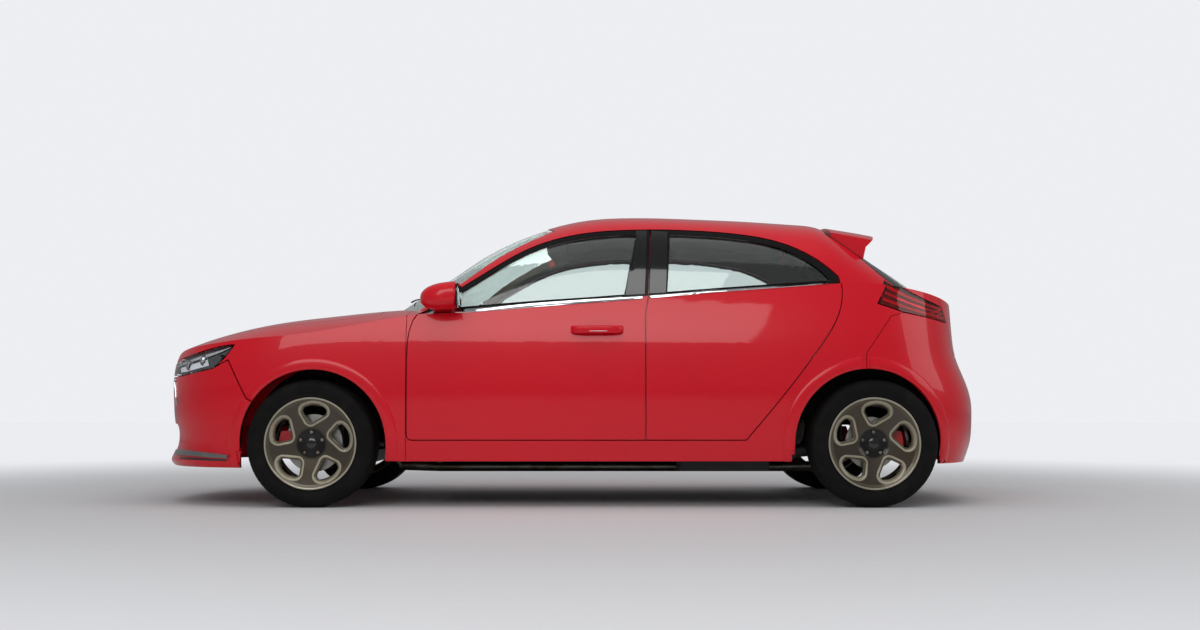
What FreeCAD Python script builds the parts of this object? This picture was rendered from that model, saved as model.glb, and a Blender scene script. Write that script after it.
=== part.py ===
"""Five-door hatchback: body panels, doors, lids, running gear and cabin, each in its own place.

+X points to the tail, +Y to the car's right side and +Z up. The origin lies on the road, midway
between the bumpers. The stations of the body's curves are drawn on a grid for a 2700 mm wheelbase
and a 1780 mm wide body, and the functions along, across and up spread them over the sheet's sizes.
"""
import FreeCAD, Part

import math
import os

from functools import lru_cache

from FreeCAD import Placement, Rotation, Vector

OUT = "parts"

# Driving sizes.
SIZES = [
    ("wheelbase", 2700.0, "front axle to rear axle"),
    ("front_axle_x", -1231.0, "front axle, from midway between the bumpers"),
    ("track", 1552.0, "between the wheels' middle planes"),
    ("body_width", 1780.0, "over the doors, without mirrors"),
    ("body_height", 1470.0, "road to roof"),
    ("tyre_radius", 306.0, "road to wheel centre"),
    ("tyre_width", 205.0, "section width"),
    ("rim_radius", 203.0, "bead seat"),
    ("rim_width", 178.0, "between the flanges"),
    ("arch_radius_front", 354.0, "front wheel arch lip"),
    ("arch_radius_rear", 358.0, "rear wheel arch lip"),
    ("panel_gap", 6.0, "between panels"),
    ("door_skin", 16.0, "door skin with its hem"),
    ("door_depth", 100.0, "outer skin to inner trim"),
    ("door_shrink", 34.0, "edge of the door skin to the door shell"),
    ("rebate", 26.0, "depth of the step that the doors close on"),
    ("side_depth", 110.0, "outer face of the sills and quarters to the inner face"),
    ("pillar_depth", 45.0, "roof rails and pillars"),
    ("roof_wall", 6.0, "roof skin at its edges"),
    ("glass", 5.0, "window glass"),
    ("glass_inset", 5.0, "glass behind the outer surface"),
    ("wing_wall", 5.0, "front wing"),
    ("lid_wall", 20.0, "bonnet with its inner frame"),
    ("tailgate_wall", 40.0, "tailgate, skin to trim"),
    ("bumper_wall", 26.0, "bumper cover with its ribs"),
    ("lamp_depth", 70.0, "lamp housings"),
    ("spokes", 5, "spokes and windows of a wheel"),
    ("wheel_bolts", 5, "bolt holes of a wheel"),
    ("bolt_circle", 108.0, "diameter of the bolt holes' circle"),
    ("disc_radius_front", 139.0, "front brake disc"),
    ("disc_radius_rear", 126.0, "rear brake disc"),
    ("disc_thickness", 24.0, "brake disc"),
    ("hub_radius", 68.0, "hub flange"),
    ("hinge_setback", 10.0, "leading edge of a door or lid to its hinge pin"),
    ("hinge_inset", 14.0, "outer skin to the hinge pin"),
    ("hinge_pin", 3.5, "radius of a hinge pin"),
    ("hinge_eye", 6.5, "outer radius of a hinge eye"),
]


def new_document():
    document = FreeCAD.newDocument("hatchback")
    sheet = document.addObject("Spreadsheet::Sheet", "sizes")
    for row, (alias, value, note) in enumerate(SIZES, start=1):
        sheet.set(f"A{row}", alias)
        sheet.set(f"B{row}", str(value))
        sheet.setAlias(f"B{row}", alias)
        sheet.set(f"C{row}", note)
    document.recompute()
    return document, sheet


DOC, SHEET = new_document()


def size(alias):
    """The sheet's value of one driving size."""
    return float(getattr(SHEET, alias))


FRONT_X = size("front_axle_x")
REAR_X = FRONT_X + size("wheelbase")
WHEEL_Z = size("tyre_radius")
WHEEL_Y = size("track") / 2
GAP = size("panel_gap")

GRID_FRONT_X = -1231.0
GRID_WHEELBASE = 2700.0
GRID_WIDTH = 1780.0
GRID_HEIGHT = 1470.0


def along(x):
    """Length on the grid to length on the car: the overhangs shift and the cabin stretches."""
    ahead = x - GRID_FRONT_X
    if ahead <= 0:
        return FRONT_X + ahead
    if ahead >= GRID_WHEELBASE:
        return REAR_X + ahead - GRID_WHEELBASE
    return FRONT_X + ahead * size("wheelbase") / GRID_WHEELBASE


def across(y):
    return y * size("body_width") / GRID_WIDTH


def up(z):
    return z * size("body_height") / GRID_HEIGHT


def at(x, y, z):
    return Vector(along(x), across(y), up(z))


# Curves and skins.
class Profile:
    """A smooth curve of one height or width over stations, read by station."""

    def __init__(self, stations):
        self.low = stations[0][0]
        self.high = stations[-1][0]
        self.curve = Part.BSplineCurve()
        points = [Vector(station, 0, value) for station, value in stations]
        self.curve.interpolate(Points=points, Parameters=[float(point.x) for point in points])

    def __call__(self, station):
        return self.curve.value(min(max(station, self.low), self.high)).z


NOSE = Profile([(185, -2058), (212, -2078), (245, -2066), (290, -2048), (400, -2058), (520, -2068),
                (640, -2068), (720, -2050), (830, -1990), (960, -1920), (1120, -1850)])
TAIL = Profile([(185, 2030), (212, 2042), (245, 2054), (290, 2068), (400, 2080), (520, 2076),
                (640, 2036), (720, 2004), (830, 1986), (960, 1980), (1120, 1962)])
FLANK = Profile([(185, 846), (212, 854), (245, 861), (290, 870), (400, 882), (520, 888),
                 (640, 890), (720, 887), (830, 877), (960, 848), (1120, 802)])
LEVELS = [185, 212, 245, 290, 400, 520, 640, 720, 830, 960, 1120]
WAIST_X = 375.0

CREST = Profile([(-2200, 590), (-2060, 700), (-1990, 752), (-1900, 800), (-1800, 838), (-1700, 868),
                 (-1600, 893), (-1450, 922), (-1200, 952), (-950, 975), (-740, 985), (-300, 1000),
                 (400, 1040), (1000, 1080), (1400, 1100), (1700, 1072), (1830, 1040), (1900, 1014),
                 (1980, 985), (2060, 955), (2200, 900)])
BELT = Profile([(-2200, 520), (-2060, 620), (-1900, 700), (-1800, 735), (-1700, 765), (-1600, 790),
                (-1450, 815), (-1200, 850), (-950, 893), (-740, 924), (-424, 938), (-190, 958),
                (383, 1005), (746, 1037), (1302, 1075), (1450, 1078), (1600, 1062), (1750, 1030),
                (1850, 1000), (2000, 950), (2200, 890)])

ROOF_START = [(-1300, 712), (-1100, 838), (-980, 915), (-898, 976), (-768, 1067), (-646, 1142),
              (-483, 1252), (-355, 1323), (-226, 1377), (-97, 1419), (32, 1449), (160, 1465),
              (286, 1470), (412, 1470), (662, 1462), (913, 1451), (1164, 1435)]
ROOF = Profile(ROOF_START + [(1290, 1415), (1400, 1352), (1500, 1282), (1680, 1164), (1840, 1056),
                             (1930, 978), (1970, 920)])
ROOF_TO_SPOILER = Profile(ROOF_START + [(1298, 1421), (1400, 1407), (1500, 1391), (1570, 1378),
                                        (1700, 1350), (1970, 1290)])
CABIN_WIDTH = Profile([(-1300, 700), (-1100, 735), (-900, 765), (-700, 790), (-300, 825),
                       (200, 838), (700, 833), (1100, 814), (1500, 772), (1680, 740), (1840, 655),
                       (1930, 520), (1970, 300)])
CABIN_BOW = Profile([(-1300, 0), (-1100, 60), (-900, 100), (-646, 110), (-355, 95), (-97, 60),
                     (160, 18), (286, 0), (913, 0), (1164, -8), (1290, -20), (1500, -50),
                     (1700, -66), (1840, -75), (1930, -60), (1970, 0)])
CABIN_STATIONS = [-1300, -1100, -980, -898, -768, -646, -483, -355, -226, -97, 32, 160, 286, 412,
                  662, 913, 1164, 1290, 1400, 1500, 1590, 1680, 1765, 1840, 1930, 1970]
CABIN_FOOT = 700.0


def spread(points, count):
    """count points at even distances along a fine polyline."""
    travelled = [0.0]
    for first, second in zip(points, points[1:]):
        step = math.hypot(second[0] - first[0], second[1] - first[1])
        travelled.append(travelled[-1] + step)
    chosen = []
    index = 0
    for number in range(count):
        target = travelled[-1] * number / (count - 1)
        while index < len(points) - 2 and travelled[index + 1] < target:
            index += 1
        part = (target - travelled[index]) / (travelled[index + 1] - travelled[index])
        a, b = points[index], points[index + 1]
        chosen.append((a[0] + part * (b[0] - a[0]), a[1] + part * (b[1] - a[1])))
    return chosen


def quarter_oval(length, width, length_power, width_power, count):
    """Points from the side (0, width) to the end (length, 0) of a superellipse."""
    fine = []
    for step in range(601):
        turn = math.pi / 2 * step / 600
        reach = length * math.sin(turn) ** (2 / length_power)
        fine.append((reach, width * max(math.cos(turn), 0.0) ** (2 / width_power)))
    return spread(fine, count)


def skin_surface(rows, stations):
    """A smooth surface through rows of points that share one spacing."""
    steps = [float(number) for number in range(len(rows[0]))]
    curves = []
    for row in rows:
        curve = Part.BSplineCurve()
        curve.interpolate(Points=row, Parameters=steps)
        curves.append(curve)
    columns = []
    for pole in range(1, curves[0].NbPoles + 1):
        column = Part.BSplineCurve()
        column.interpolate(Points=[curve.getPole(pole) for curve in curves],
                           Parameters=[float(station) for station in stations])
        columns.append(column)
    surface = Part.BSplineSurface()
    surface.buildFromPolesMultsKnots([column.getPoles() for column in columns],
                                     curves[0].getMultiplicities(),
                                     columns[0].getMultiplicities(),
                                     curves[0].getKnots(), columns[0].getKnots(),
                                     False, False, 3, 3)
    return surface.toShape()


def wire_of(edges):
    return Part.Wire(Part.__sortEdges__(edges))


def border(face, axis, value):
    """The face's edge that lies in the plane axis = value."""
    for edge in face.Edges:
        box = edge.BoundBox
        low, high = {"x": (box.XMin, box.XMax), "y": (box.YMin, box.YMax),
                     "z": (box.ZMin, box.ZMax)}[axis]
        if abs(low - value) < 0.3 and abs(high - value) < 0.3:
            return edge
    raise ValueError(f"no edge at {axis} = {value}")


def ends_of(edge):
    return edge.Vertexes[0].Point, edge.Vertexes[-1].Point


def closed_solid(faces):
    shell = Part.makeShell(faces)
    shell.sewShape()
    solid = Part.makeSolid(shell)
    if solid.Volume < 0:
        solid.reverse()
    return solid


def lower_body(front, inset):
    """Half of the lower body, from the B-post to one bumper, its outer face moved in by inset."""
    direction = -1 if front else 1
    powers = (9, 2.4) if front else (7, 2.8)
    rows = []
    for level in LEVELS:
        reach = abs((NOSE if front else TAIL)(level) - WAIST_X) - inset
        row = []
        for x, y in quarter_oval(reach, FLANK(level) - inset, *powers, 15):
            row.append(at(WAIST_X + direction * x, -y, level))
        for point in list(reversed(row[:-1])):
            row.append(Vector(point.x, -point.y, point.z))
        rows.append(row)
    face = skin_surface(rows, LEVELS)
    faces = [face]
    lines = []
    for level in (LEVELS[0], LEVELS[-1]):
        edge = border(face, "z", up(level))
        line = Part.makeLine(*ends_of(edge))
        lines.append(line)
        faces.append(Part.Face(wire_of([edge, line])))
    sides = [edge for edge in face.Edges if edge.BoundBox.XLength < 0.6]
    faces.append(Part.Face(wire_of(sides + lines)))
    return closed_solid(faces)


def deck(inset):
    """Everything below the bonnet's crown, the shoulders and the rear deck."""
    stations = [-2200, -2060, -1980, -1900, -1800, -1700, -1600, -1450, -1200, -950, -740, -424,
                -190, 383, 746, 1000, 1302, 1450, 1600, 1750, 1850, 1930, 2000, 2200]
    widths = [-950, -860, -760, -640, -480, -250, 0, 250, 480, 640, 760, 860, 950]
    rows = []
    for x in stations:
        fall = CREST(x) - BELT(x)
        rows.append([at(x, y, CREST(x) - fall * (abs(y) / 850) ** 3.2 - inset) for y in widths])
    face = skin_surface(rows, stations)
    foot = 60.0
    faces = [face]
    corners = []
    borders = [("x", along(stations[0])), ("y", across(widths[-1])), ("x", along(stations[-1])),
               ("y", across(widths[0]))]
    for axis, value in borders:
        edge = border(face, axis, value)
        first, second = ends_of(edge)
        low_first = Vector(first.x, first.y, foot)
        low_second = Vector(second.x, second.y, foot)
        sides = [Part.makeLine(low_first, first), edge, Part.makeLine(second, low_second),
                 Part.makeLine(low_second, low_first)]
        faces.append(Part.Face(wire_of(sides)))
    for x, y in ((0, 0), (-1, 0), (-1, -1), (0, -1)):
        corners.append(Vector(along(stations[x]), across(widths[y]), foot))
    faces.append(Part.Face(Part.makePolygon(corners + corners[:1])))
    return closed_solid(faces)


def cabin(inset, roof=None):
    """The greenhouse: screens, side glass and roof as one smooth block, moved in by inset."""
    roof = roof or ROOF
    rows = []
    for x in CABIN_STATIONS:
        half = CABIN_WIDTH(x) - inset
        rise = max(roof(x) - CABIN_FOOT - inset, 4.0)
        row = []
        for z, y in quarter_oval(rise, half, 4.5, 3.0, 13):
            bow = CABIN_BOW(x) * (y / half) ** 2
            row.append(at(x + bow, -y, CABIN_FOOT + z))
        for point in list(reversed(row[:-1])):
            row.append(Vector(point.x, -point.y, point.z))
        rows.append(row)
    face = skin_surface(rows, CABIN_STATIONS)
    faces = [face]
    feet = []
    for x in (CABIN_STATIONS[0], CABIN_STATIONS[-1]):
        edge = border(face, "x", along(x))
        line = Part.makeLine(*ends_of(edge))
        feet.append(line)
        faces.append(Part.Face(wire_of([edge, line])))
    sides = [edge for edge in face.Edges if edge.BoundBox.ZLength < 0.6]
    faces.append(Part.Face(wire_of(sides + feet)))
    return closed_solid(faces)


# Outlines and prisms.
def contour(items, place):
    """A closed wire of corners (u, v), rounded corners (u, v, radius) and smooth runs (lists)."""
    def first_of(item):
        return item[0] if isinstance(item, list) else item

    def last_of(item):
        return item[-1] if isinstance(item, list) else item

    pieces = []
    for index, item in enumerate(items):
        if isinstance(item, list):
            curve = Part.BSplineCurve()
            curve.interpolate([place(*point[:2]) for point in item])
            pieces.append((item[0], item[-1], curve.toShape()))
        elif len(item) == 3:
            before = last_of(items[index - 1])
            after = first_of(items[(index + 1) % len(items)])
            pieces.append(rounded_corner(item, before, after, place))
        else:
            pieces.append((item, item, None))
    edges = []
    for index, (_, end, edge) in enumerate(pieces):
        if edge is not None:
            edges.append(edge)
        start = pieces[(index + 1) % len(pieces)][0]
        if math.hypot(start[0] - end[0], start[1] - end[1]) > 1e-4:
            edges.append(Part.makeLine(place(*end[:2]), place(*start[:2])))
    return Part.Wire(edges)


def rounded_corner(item, before, after, place):
    u, v, radius = item
    legs = []
    for other in (before, after):
        length = math.hypot(other[0] - u, other[1] - v)
        legs.append(((other[0] - u) / length, (other[1] - v) / length))
    (ax, ay), (bx, by) = legs
    half = math.acos(max(-1.0, min(1.0, ax * bx + ay * by))) / 2
    run = radius / math.tan(half)
    start = (u + ax * run, v + ay * run)
    end = (u + bx * run, v + by * run)
    mx, my = ax + bx, ay + by
    norm = math.hypot(mx, my)
    reach = radius / math.sin(half) - radius
    middle = (u + mx / norm * reach, v + my / norm * reach)
    arc = Part.Arc(place(*start), place(*middle), place(*end)).toShape()
    return start, end, arc


def side_wire(items):
    return contour(items, lambda x, z: at(x, 0, z))


def plan_wire(items):
    return contour(items, lambda x, y: at(x, y, 0))


def rear_wire(items):
    return contour(items, lambda y, z: at(0, y, z))


def grown(items, distance):
    """The same outline moved outward by distance, or inward where it is negative."""
    flat = []
    places = []
    for item in items:
        slots = []
        for point in (item if isinstance(item, list) else [item]):
            if not flat or math.dist(flat[-1][:2], point[:2]) > 1e-4:
                flat.append(point)
            slots.append(len(flat) - 1)
        places.append(slots)
    if math.dist(flat[0][:2], flat[-1][:2]) < 1e-4:
        flat.pop()
    count = len(flat)
    area = sum(flat[i][0] * flat[(i + 1) % count][1] - flat[(i + 1) % count][0] * flat[i][1]
               for i in range(count))
    outward = distance if area > 0 else -distance
    moved = []
    for index, point in enumerate(flat):
        before, after = flat[index - 1], flat[(index + 1) % count]
        n1 = side_normal(before, point)
        n2 = side_normal(point, after)
        share = outward / (1 + n1[0] * n2[0] + n1[1] * n2[1])
        place = (point[0] + (n1[0] + n2[0]) * share, point[1] + (n1[1] + n2[1]) * share)
        if len(point) == 3:
            turn = (n1[0] * n2[1] - n1[1] * n2[0]) * (1 if area > 0 else -1)
            radius = point[2] + (distance if turn > 0 else -distance)
            place = place + (radius,) if radius > 1 else place
        moved.append(place)
    result = []
    for item, slots in zip(items, places):
        points = [moved[slot % count] for slot in slots]
        result.append(points if isinstance(item, list) else points[0])
    return result


def side_normal(first, second):
    """The unit normal to the right of the way from first to second."""
    length = math.dist(first[:2], second[:2])
    return (second[1] - first[1]) / length, (first[0] - second[0]) / length


def prism(wire, start, run):
    face = Part.Face(wire)
    face.translate(start)
    return face.extrude(run)


def side_prism(wire, y_from, y_to):
    return prism(wire, Vector(0, y_from, 0), Vector(0, y_to - y_from, 0))


def plan_prism(wire, z_from, z_to):
    return prism(wire, Vector(0, 0, z_from), Vector(0, 0, z_to - z_from))


def rear_prism(wire, x_from, x_to):
    return prism(wire, Vector(x_from, 0, 0), Vector(x_to - x_from, 0, 0))


def box(x_from, x_to, y_from, y_to, z_from, z_to):
    low = at(x_from, y_from, z_from)
    high = at(x_to, y_to, z_to)
    return Part.makeBox(high.x - low.x, high.y - low.y, high.z - low.z, low)


def rod(start, end, radius):
    run = end - start
    return Part.makeCylinder(radius, run.Length, start, run)


def joined(shapes):
    shapes = list(shapes)
    return shapes[0].multiFuse(shapes[1:]) if len(shapes) > 1 else shapes[0]


def both_sides(shape):
    """The left-hand shape and its mirror image."""
    return [shape, mirrored(shape)]


def mirrored(shape):
    return shape.mirror(Vector(0, 0, 0), Vector(0, 1, 0))


def solids_only(shape, least=2000.0):
    """One shape of the solids that are bigger than shavings of a cut."""
    kept = [solid for solid in shape.Solids if solid.Volume > least]
    return kept[0] if len(kept) == 1 else Part.makeCompound(kept)


# Outlines of the panels.
FRAME_TOP_FRONT = [(-700, 952), (-600, 1022), (-520, 1073), (-439, 1122), (-320, 1196),
                   (-199, 1262), (-79, 1306), (41, 1333), (161, 1348), (281, 1355), (405, 1358)]
FRAME_TOP_REAR = [(405, 1358), (521, 1357), (641, 1352), (762, 1343), (882, 1328), (1002, 1303),
                  (1122, 1258), (1241, 1186), (1322, 1116)]
FRONT_DOOR = [(374, 322, 12), (-771, 322, 25), (-771, 720),
              [(-771, 720), (-764, 828), (-742, 900), (-700, 952)], FRAME_TOP_FRONT,
              (390, 1010), (374, 930)]
REAR_DOOR = [(374, 930), (390, 1010), FRAME_TOP_REAR,
                       [(1322, 1116), (1330, 1050), (1324, 986), (1291, 893), (1208, 764),
                        (1090, 607), (973, 462), (878, 350)], (856, 322, 12), (374, 322, 12)]
DOOR_NOTCH = [(358, 322 - GAP / 2), (390, 322 - GAP / 2), (390, 345), (358, 345)]
FRONT_WINDOW = [(-548, 962), (272, 1014, 16), (336, 1326, 14),
                          [(281, 1327), (161, 1319), (41, 1304), (-79, 1278), (-199, 1233),
                           (-320, 1168), (-439, 1094), (-548, 1022)]]
REAR_WINDOW = [(480, 1028, 14), (1276, 1094),
                         [(1276, 1100), (1215, 1160), (1110, 1227), (1002, 1272), (882, 1299),
                          (762, 1314), (641, 1323), (500, 1329)]]


# Nested skins.
@lru_cache(maxsize=None)
def flanks(inset):
    """The lower body from bumper to bumper."""
    return lower_body(True, inset).fuse(lower_body(False, inset))


@lru_cache(maxsize=None)
def decks(inset):
    return deck(inset)


@lru_cache(maxsize=None)
def cabins(inset):
    return cabin(inset)


@lru_cache(maxsize=None)
def lower_shell(inset):
    """The lower body cut off at the shoulder and the bonnet's crown."""
    return flanks(inset).common(decks(0))


def skin_layer(region, lower_from, lower_to, upper_from, upper_to):
    """The region's layers of the lower body and the cabin, between two insets each."""
    lower = region.common(lower_shell(lower_from)).cut(flanks(lower_to))
    upper = region.common(cabins(upper_from)).cut(cabins(upper_to))
    return lower.cut(cabins(upper_to)), upper


# Doors.
FLANK_Y = -across(FLANK(640))
BELOW_BELT = 18.0
DOOR_AIR = 5.0


def below_belt(drop):
    """Everything below the belt line less drop, across the whole car."""
    line = [(x, BELT(x) - drop) for x in (-900, -700, -300, 100, 400, 800, 1100, 1400)]
    wire = side_wire([(-900, 150), line, (1400, 150)])
    return side_prism(wire, -across(1000), across(1000))


@lru_cache(maxsize=None)
def land_room():
    """The room that a door's window frame leaves to the land it closes on, below the belt."""
    return flanks(size("rebate") - DOOR_AIR).common(below_belt(BELOW_BELT))


def door(outline, window):
    """One left-hand door: a skin with its window frame round a deep shell below the belt."""
    region = side_prism(side_wire(grown(outline, -GAP / 2)), -across(1000), -across(500))
    depth = size("door_skin")
    lower, upper = skin_layer(region, 0, depth, 0, depth)
    frame = upper.cut(side_prism(side_wire(window), -across(1000), -across(300)))
    frame = frame.cut(land_room())
    edge = side_wire(grown(outline, -size("door_shrink")))
    inner = side_prism(edge, -across(1000), -across(500))
    shell = inner.common(below_belt(BELOW_BELT + DOOR_AIR)).common(flanks(depth - 2))
    shell = shell.cut(flanks(size("door_depth")))
    return joined([lower, frame, shell])


# Hinges.
HINGE_EYE_LENGTH = 40.0
HINGE_PLAY = 0.3
HINGE_ROOM = 1.0
ARM_WIDTH = 10.0


def hinge_eye(pin_point, axis, inward, reach):
    """A fixed hinge: an eye round the pin, centred on pin_point, and its arm to the pillar."""
    foot = pin_point - axis * (HINGE_EYE_LENGTH / 2)
    eye = Part.makeCylinder(size("hinge_eye"), HINGE_EYE_LENGTH, foot, axis)
    sideways = axis.cross(inward)
    corner = foot - sideways * (ARM_WIDTH / 2)
    corners = [corner, corner + sideways * ARM_WIDTH, corner + sideways * ARM_WIDTH
               + inward * reach, corner + inward * reach]
    arm = Part.Face(Part.makePolygon(corners + corners[:1])).extrude(axis * HINGE_EYE_LENGTH)
    bore = Part.makeCylinder(size("hinge_pin") + HINGE_PLAY, HINGE_EYE_LENGTH + 2,
                             foot - axis, axis)
    return eye.fuse(arm).cut(bore)


def hinge_pocket(pin_point, axis, inward, ahead):
    """The room in a door or lid round a hinge eye and the swing of its arm."""
    half = HINGE_EYE_LENGTH / 2 + HINGE_ROOM
    radius = size("hinge_eye") + HINGE_ROOM
    foot = pin_point - axis * half
    eye = Part.makeCylinder(radius, 2 * half, foot, axis)
    near = foot - ahead * radius - inward * 3
    far = foot + ahead * (size("hinge_setback") + 4) - inward * 3
    corners = [near, far, far + inward * 60, near + inward * 60]
    room = Part.Face(Part.makePolygon(corners + corners[:1])).extrude(axis * (2 * half))
    return eye.fuse(room)


def hinge_pin(pin_point, axis):
    half = HINGE_EYE_LENGTH / 2 + HINGE_ROOM + 6
    return Part.makeCylinder(size("hinge_pin"), 2 * half, pin_point - axis * half, axis)


UP = Vector(0, 0, 1)
RIGHT = Vector(0, 1, 0)
AHEAD = Vector(-1, 0, 0)
DOOR_HINGE_LEVELS = [460.0, 740.0]
DOOR_PIN_Y = -(across(FLANK(640)) - size("hinge_inset"))


def door_leading_x(outline_x):
    return along(outline_x) + GAP / 2


def door_pins(outline_x):
    x = door_leading_x(outline_x) + size("hinge_setback")
    return [Vector(x, DOOR_PIN_Y, up(level)) for level in DOOR_HINGE_LEVELS]


FRONT_DOOR_X = -771.0
REAR_DOOR_X = 374.0


def pillar_foot_room():
    """The front door's upper inner corner, by which the foot of the screen pillar swings."""
    return box(-745, -690, -775, -640, 886, 912)


TRAILING_SKIN = 5.5


def trailing_edge():
    """The inner side of the front door's rear edge, where the rear door's edge swings by."""
    strip = box(REAR_DOOR_X - 12, REAR_DOOR_X + 6, -1000, -500, 300, 930)
    return strip.common(flanks(TRAILING_SKIN))


def hung_door(outline, window, outline_x):
    panel = door(outline, window)
    for pin in door_pins(outline_x):
        panel = panel.cut(hinge_pocket(pin, UP, RIGHT, AHEAD)).fuse(hinge_pin(pin, UP))
    return panel


WINDOW_PLAY = 0.5


def door_glass(window):
    """The door's window, set into its frame behind the outer surface."""
    front = size("glass_inset")
    region = side_prism(side_wire(grown(window, -WINDOW_PLAY)), -across(1000), -across(300))
    return region.common(cabins(front)).cut(cabins(front + size("glass")))


# Body outlines.
SCREEN = [[(-822, -700), (-868, -420), (-884, 0), (-868, 420), (-822, 700)],
          [(-822, 700), (-459, 645), (-75, 555)],
          [(-75, 555), (-118, 300), (-130, 0), (-118, -300), (-75, -555)],
          [(-75, -555), (-459, -645), (-822, -700)]]
TAILGATE_X = 1293.0
TAILGATE = [(-535, 1600), (-535, 1345), [(-540, 1320), (-556, 1247), (-592, 1180), (-624, 1126),
                                         (-632, 1050), (-614, 960), (-592, 900)],
            (-562, 738, 40), (562, 738, 40),
            [(592, 900), (614, 960), (632, 1050), (624, 1126), (592, 1180), (556, 1247),
             (540, 1320)], (535, 1345), (535, 1600)]
BACKLIGHT = [(-508, 1290, 40), [(-500, 1240), (-528, 1180), (-556, 1130)], (-560, 1062, 40),
             (560, 1062, 40), [(556, 1130), (528, 1180), (500, 1240)], (508, 1290, 40)]
BONNET = [[(-2200, -480), (-1900, -560), (-1600, -628), (-1200, -682), (-925, -712)],
          [(-925, 712), (-1200, 682), (-1600, 628), (-1900, 560), (-2200, 480)]]
BONNET_LIP_Z = 704.0
HEADLAMP = [(-2200, 634), (-1915, 634), (-1728, 668), [(-1728, 668), (-1672, 712), (-1619, 781)],
            [(-1619, 781), (-1700, 772), (-1799, 750), (-1900, 726), (-2200, 700)]]
HEADLAMP_INNER_Y = 452.0
FRONT_BUMPER = [(-2300, 150), (-1200, 150), (-1200, 330), (-1548, 522), (-1645, 708),
                (-1728, 668), (-1915, 634), (-2300, 634)]
TAIL_LAMP = [(1631, 940), (1502, 981), (1568, 1106),
             [(1568, 1106), (1700, 1030), (1800, 992), (2100, 960)], (2100, 884), (1859, 901)]
REAR_BUMPER = [(1433, 150), (1433, 671), (1434, 740), (1565, 922), (1631, 940), (1859, 901),
               (2100, 884), (2300, 884), (2300, 150)]
ARCH_FRONT_X = -1225.0
ARCH_REAR_X = 1446.0


def arch_opening(front, grow=0.0):
    """The round mouth of a wheelhouse with its lower edges, cut through the car's side."""
    radius = size("arch_radius_front" if front else "arch_radius_rear") + grow
    x = along(ARCH_FRONT_X if front else ARCH_REAR_X)
    foot = 100.0
    run = radius * 0.02
    low_left, low_right = (x - radius - run, foot), (x + radius + run, foot)
    corners = [Vector(low_left[0], 0, foot), Vector(x - radius, 0, WHEEL_Z),
               Vector(x, 0, WHEEL_Z + radius), Vector(x + radius, 0, WHEEL_Z),
               Vector(low_right[0], 0, foot)]
    edges = [Part.makeLine(corners[0], corners[1]), Part.Arc(*corners[1:4]).toShape(),
             Part.makeLine(corners[3], corners[4]), Part.makeLine(corners[4], corners[0])]
    return Part.Wire(edges)


def outer_body():
    return lower_shell(0).fuse(cabins(0))


def inner_body(side_inset, top_inset):
    return flanks(side_inset).common(decks(top_inset)).fuse(cabins(top_inset))


# Body shell.
DOOR_LAND = 22.0
ROOF_EDGE_Y = 556.0
FLOOR_Z = 215.0
FLOOR_PLATE = 20.0
BOOT_Z = 480.0
SILL_Z = 221.0
WHEELHOUSE_REAR_Y = 640.0
WHEELHOUSE_REAR_RADIUS = 372.0
WHEELHOUSE_WALL = 12.0
APRON_Y = 486.0
APRON_WALL = 12.0
BULKHEAD_X = -790.0
TAIL_PANEL_X = 1955.0


def wheelhouse(front, radius, y_from, y_to):
    x = along(ARCH_FRONT_X if front else ARCH_REAR_X)
    drum = Part.makeCylinder(radius, y_to - y_from, Vector(x, y_from, WHEEL_Z), RIGHT)
    below = Part.makeBox(2 * radius, y_to - y_from, WHEEL_Z, Vector(x - radius, y_from, 0))
    return drum.fuse(below)


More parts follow.
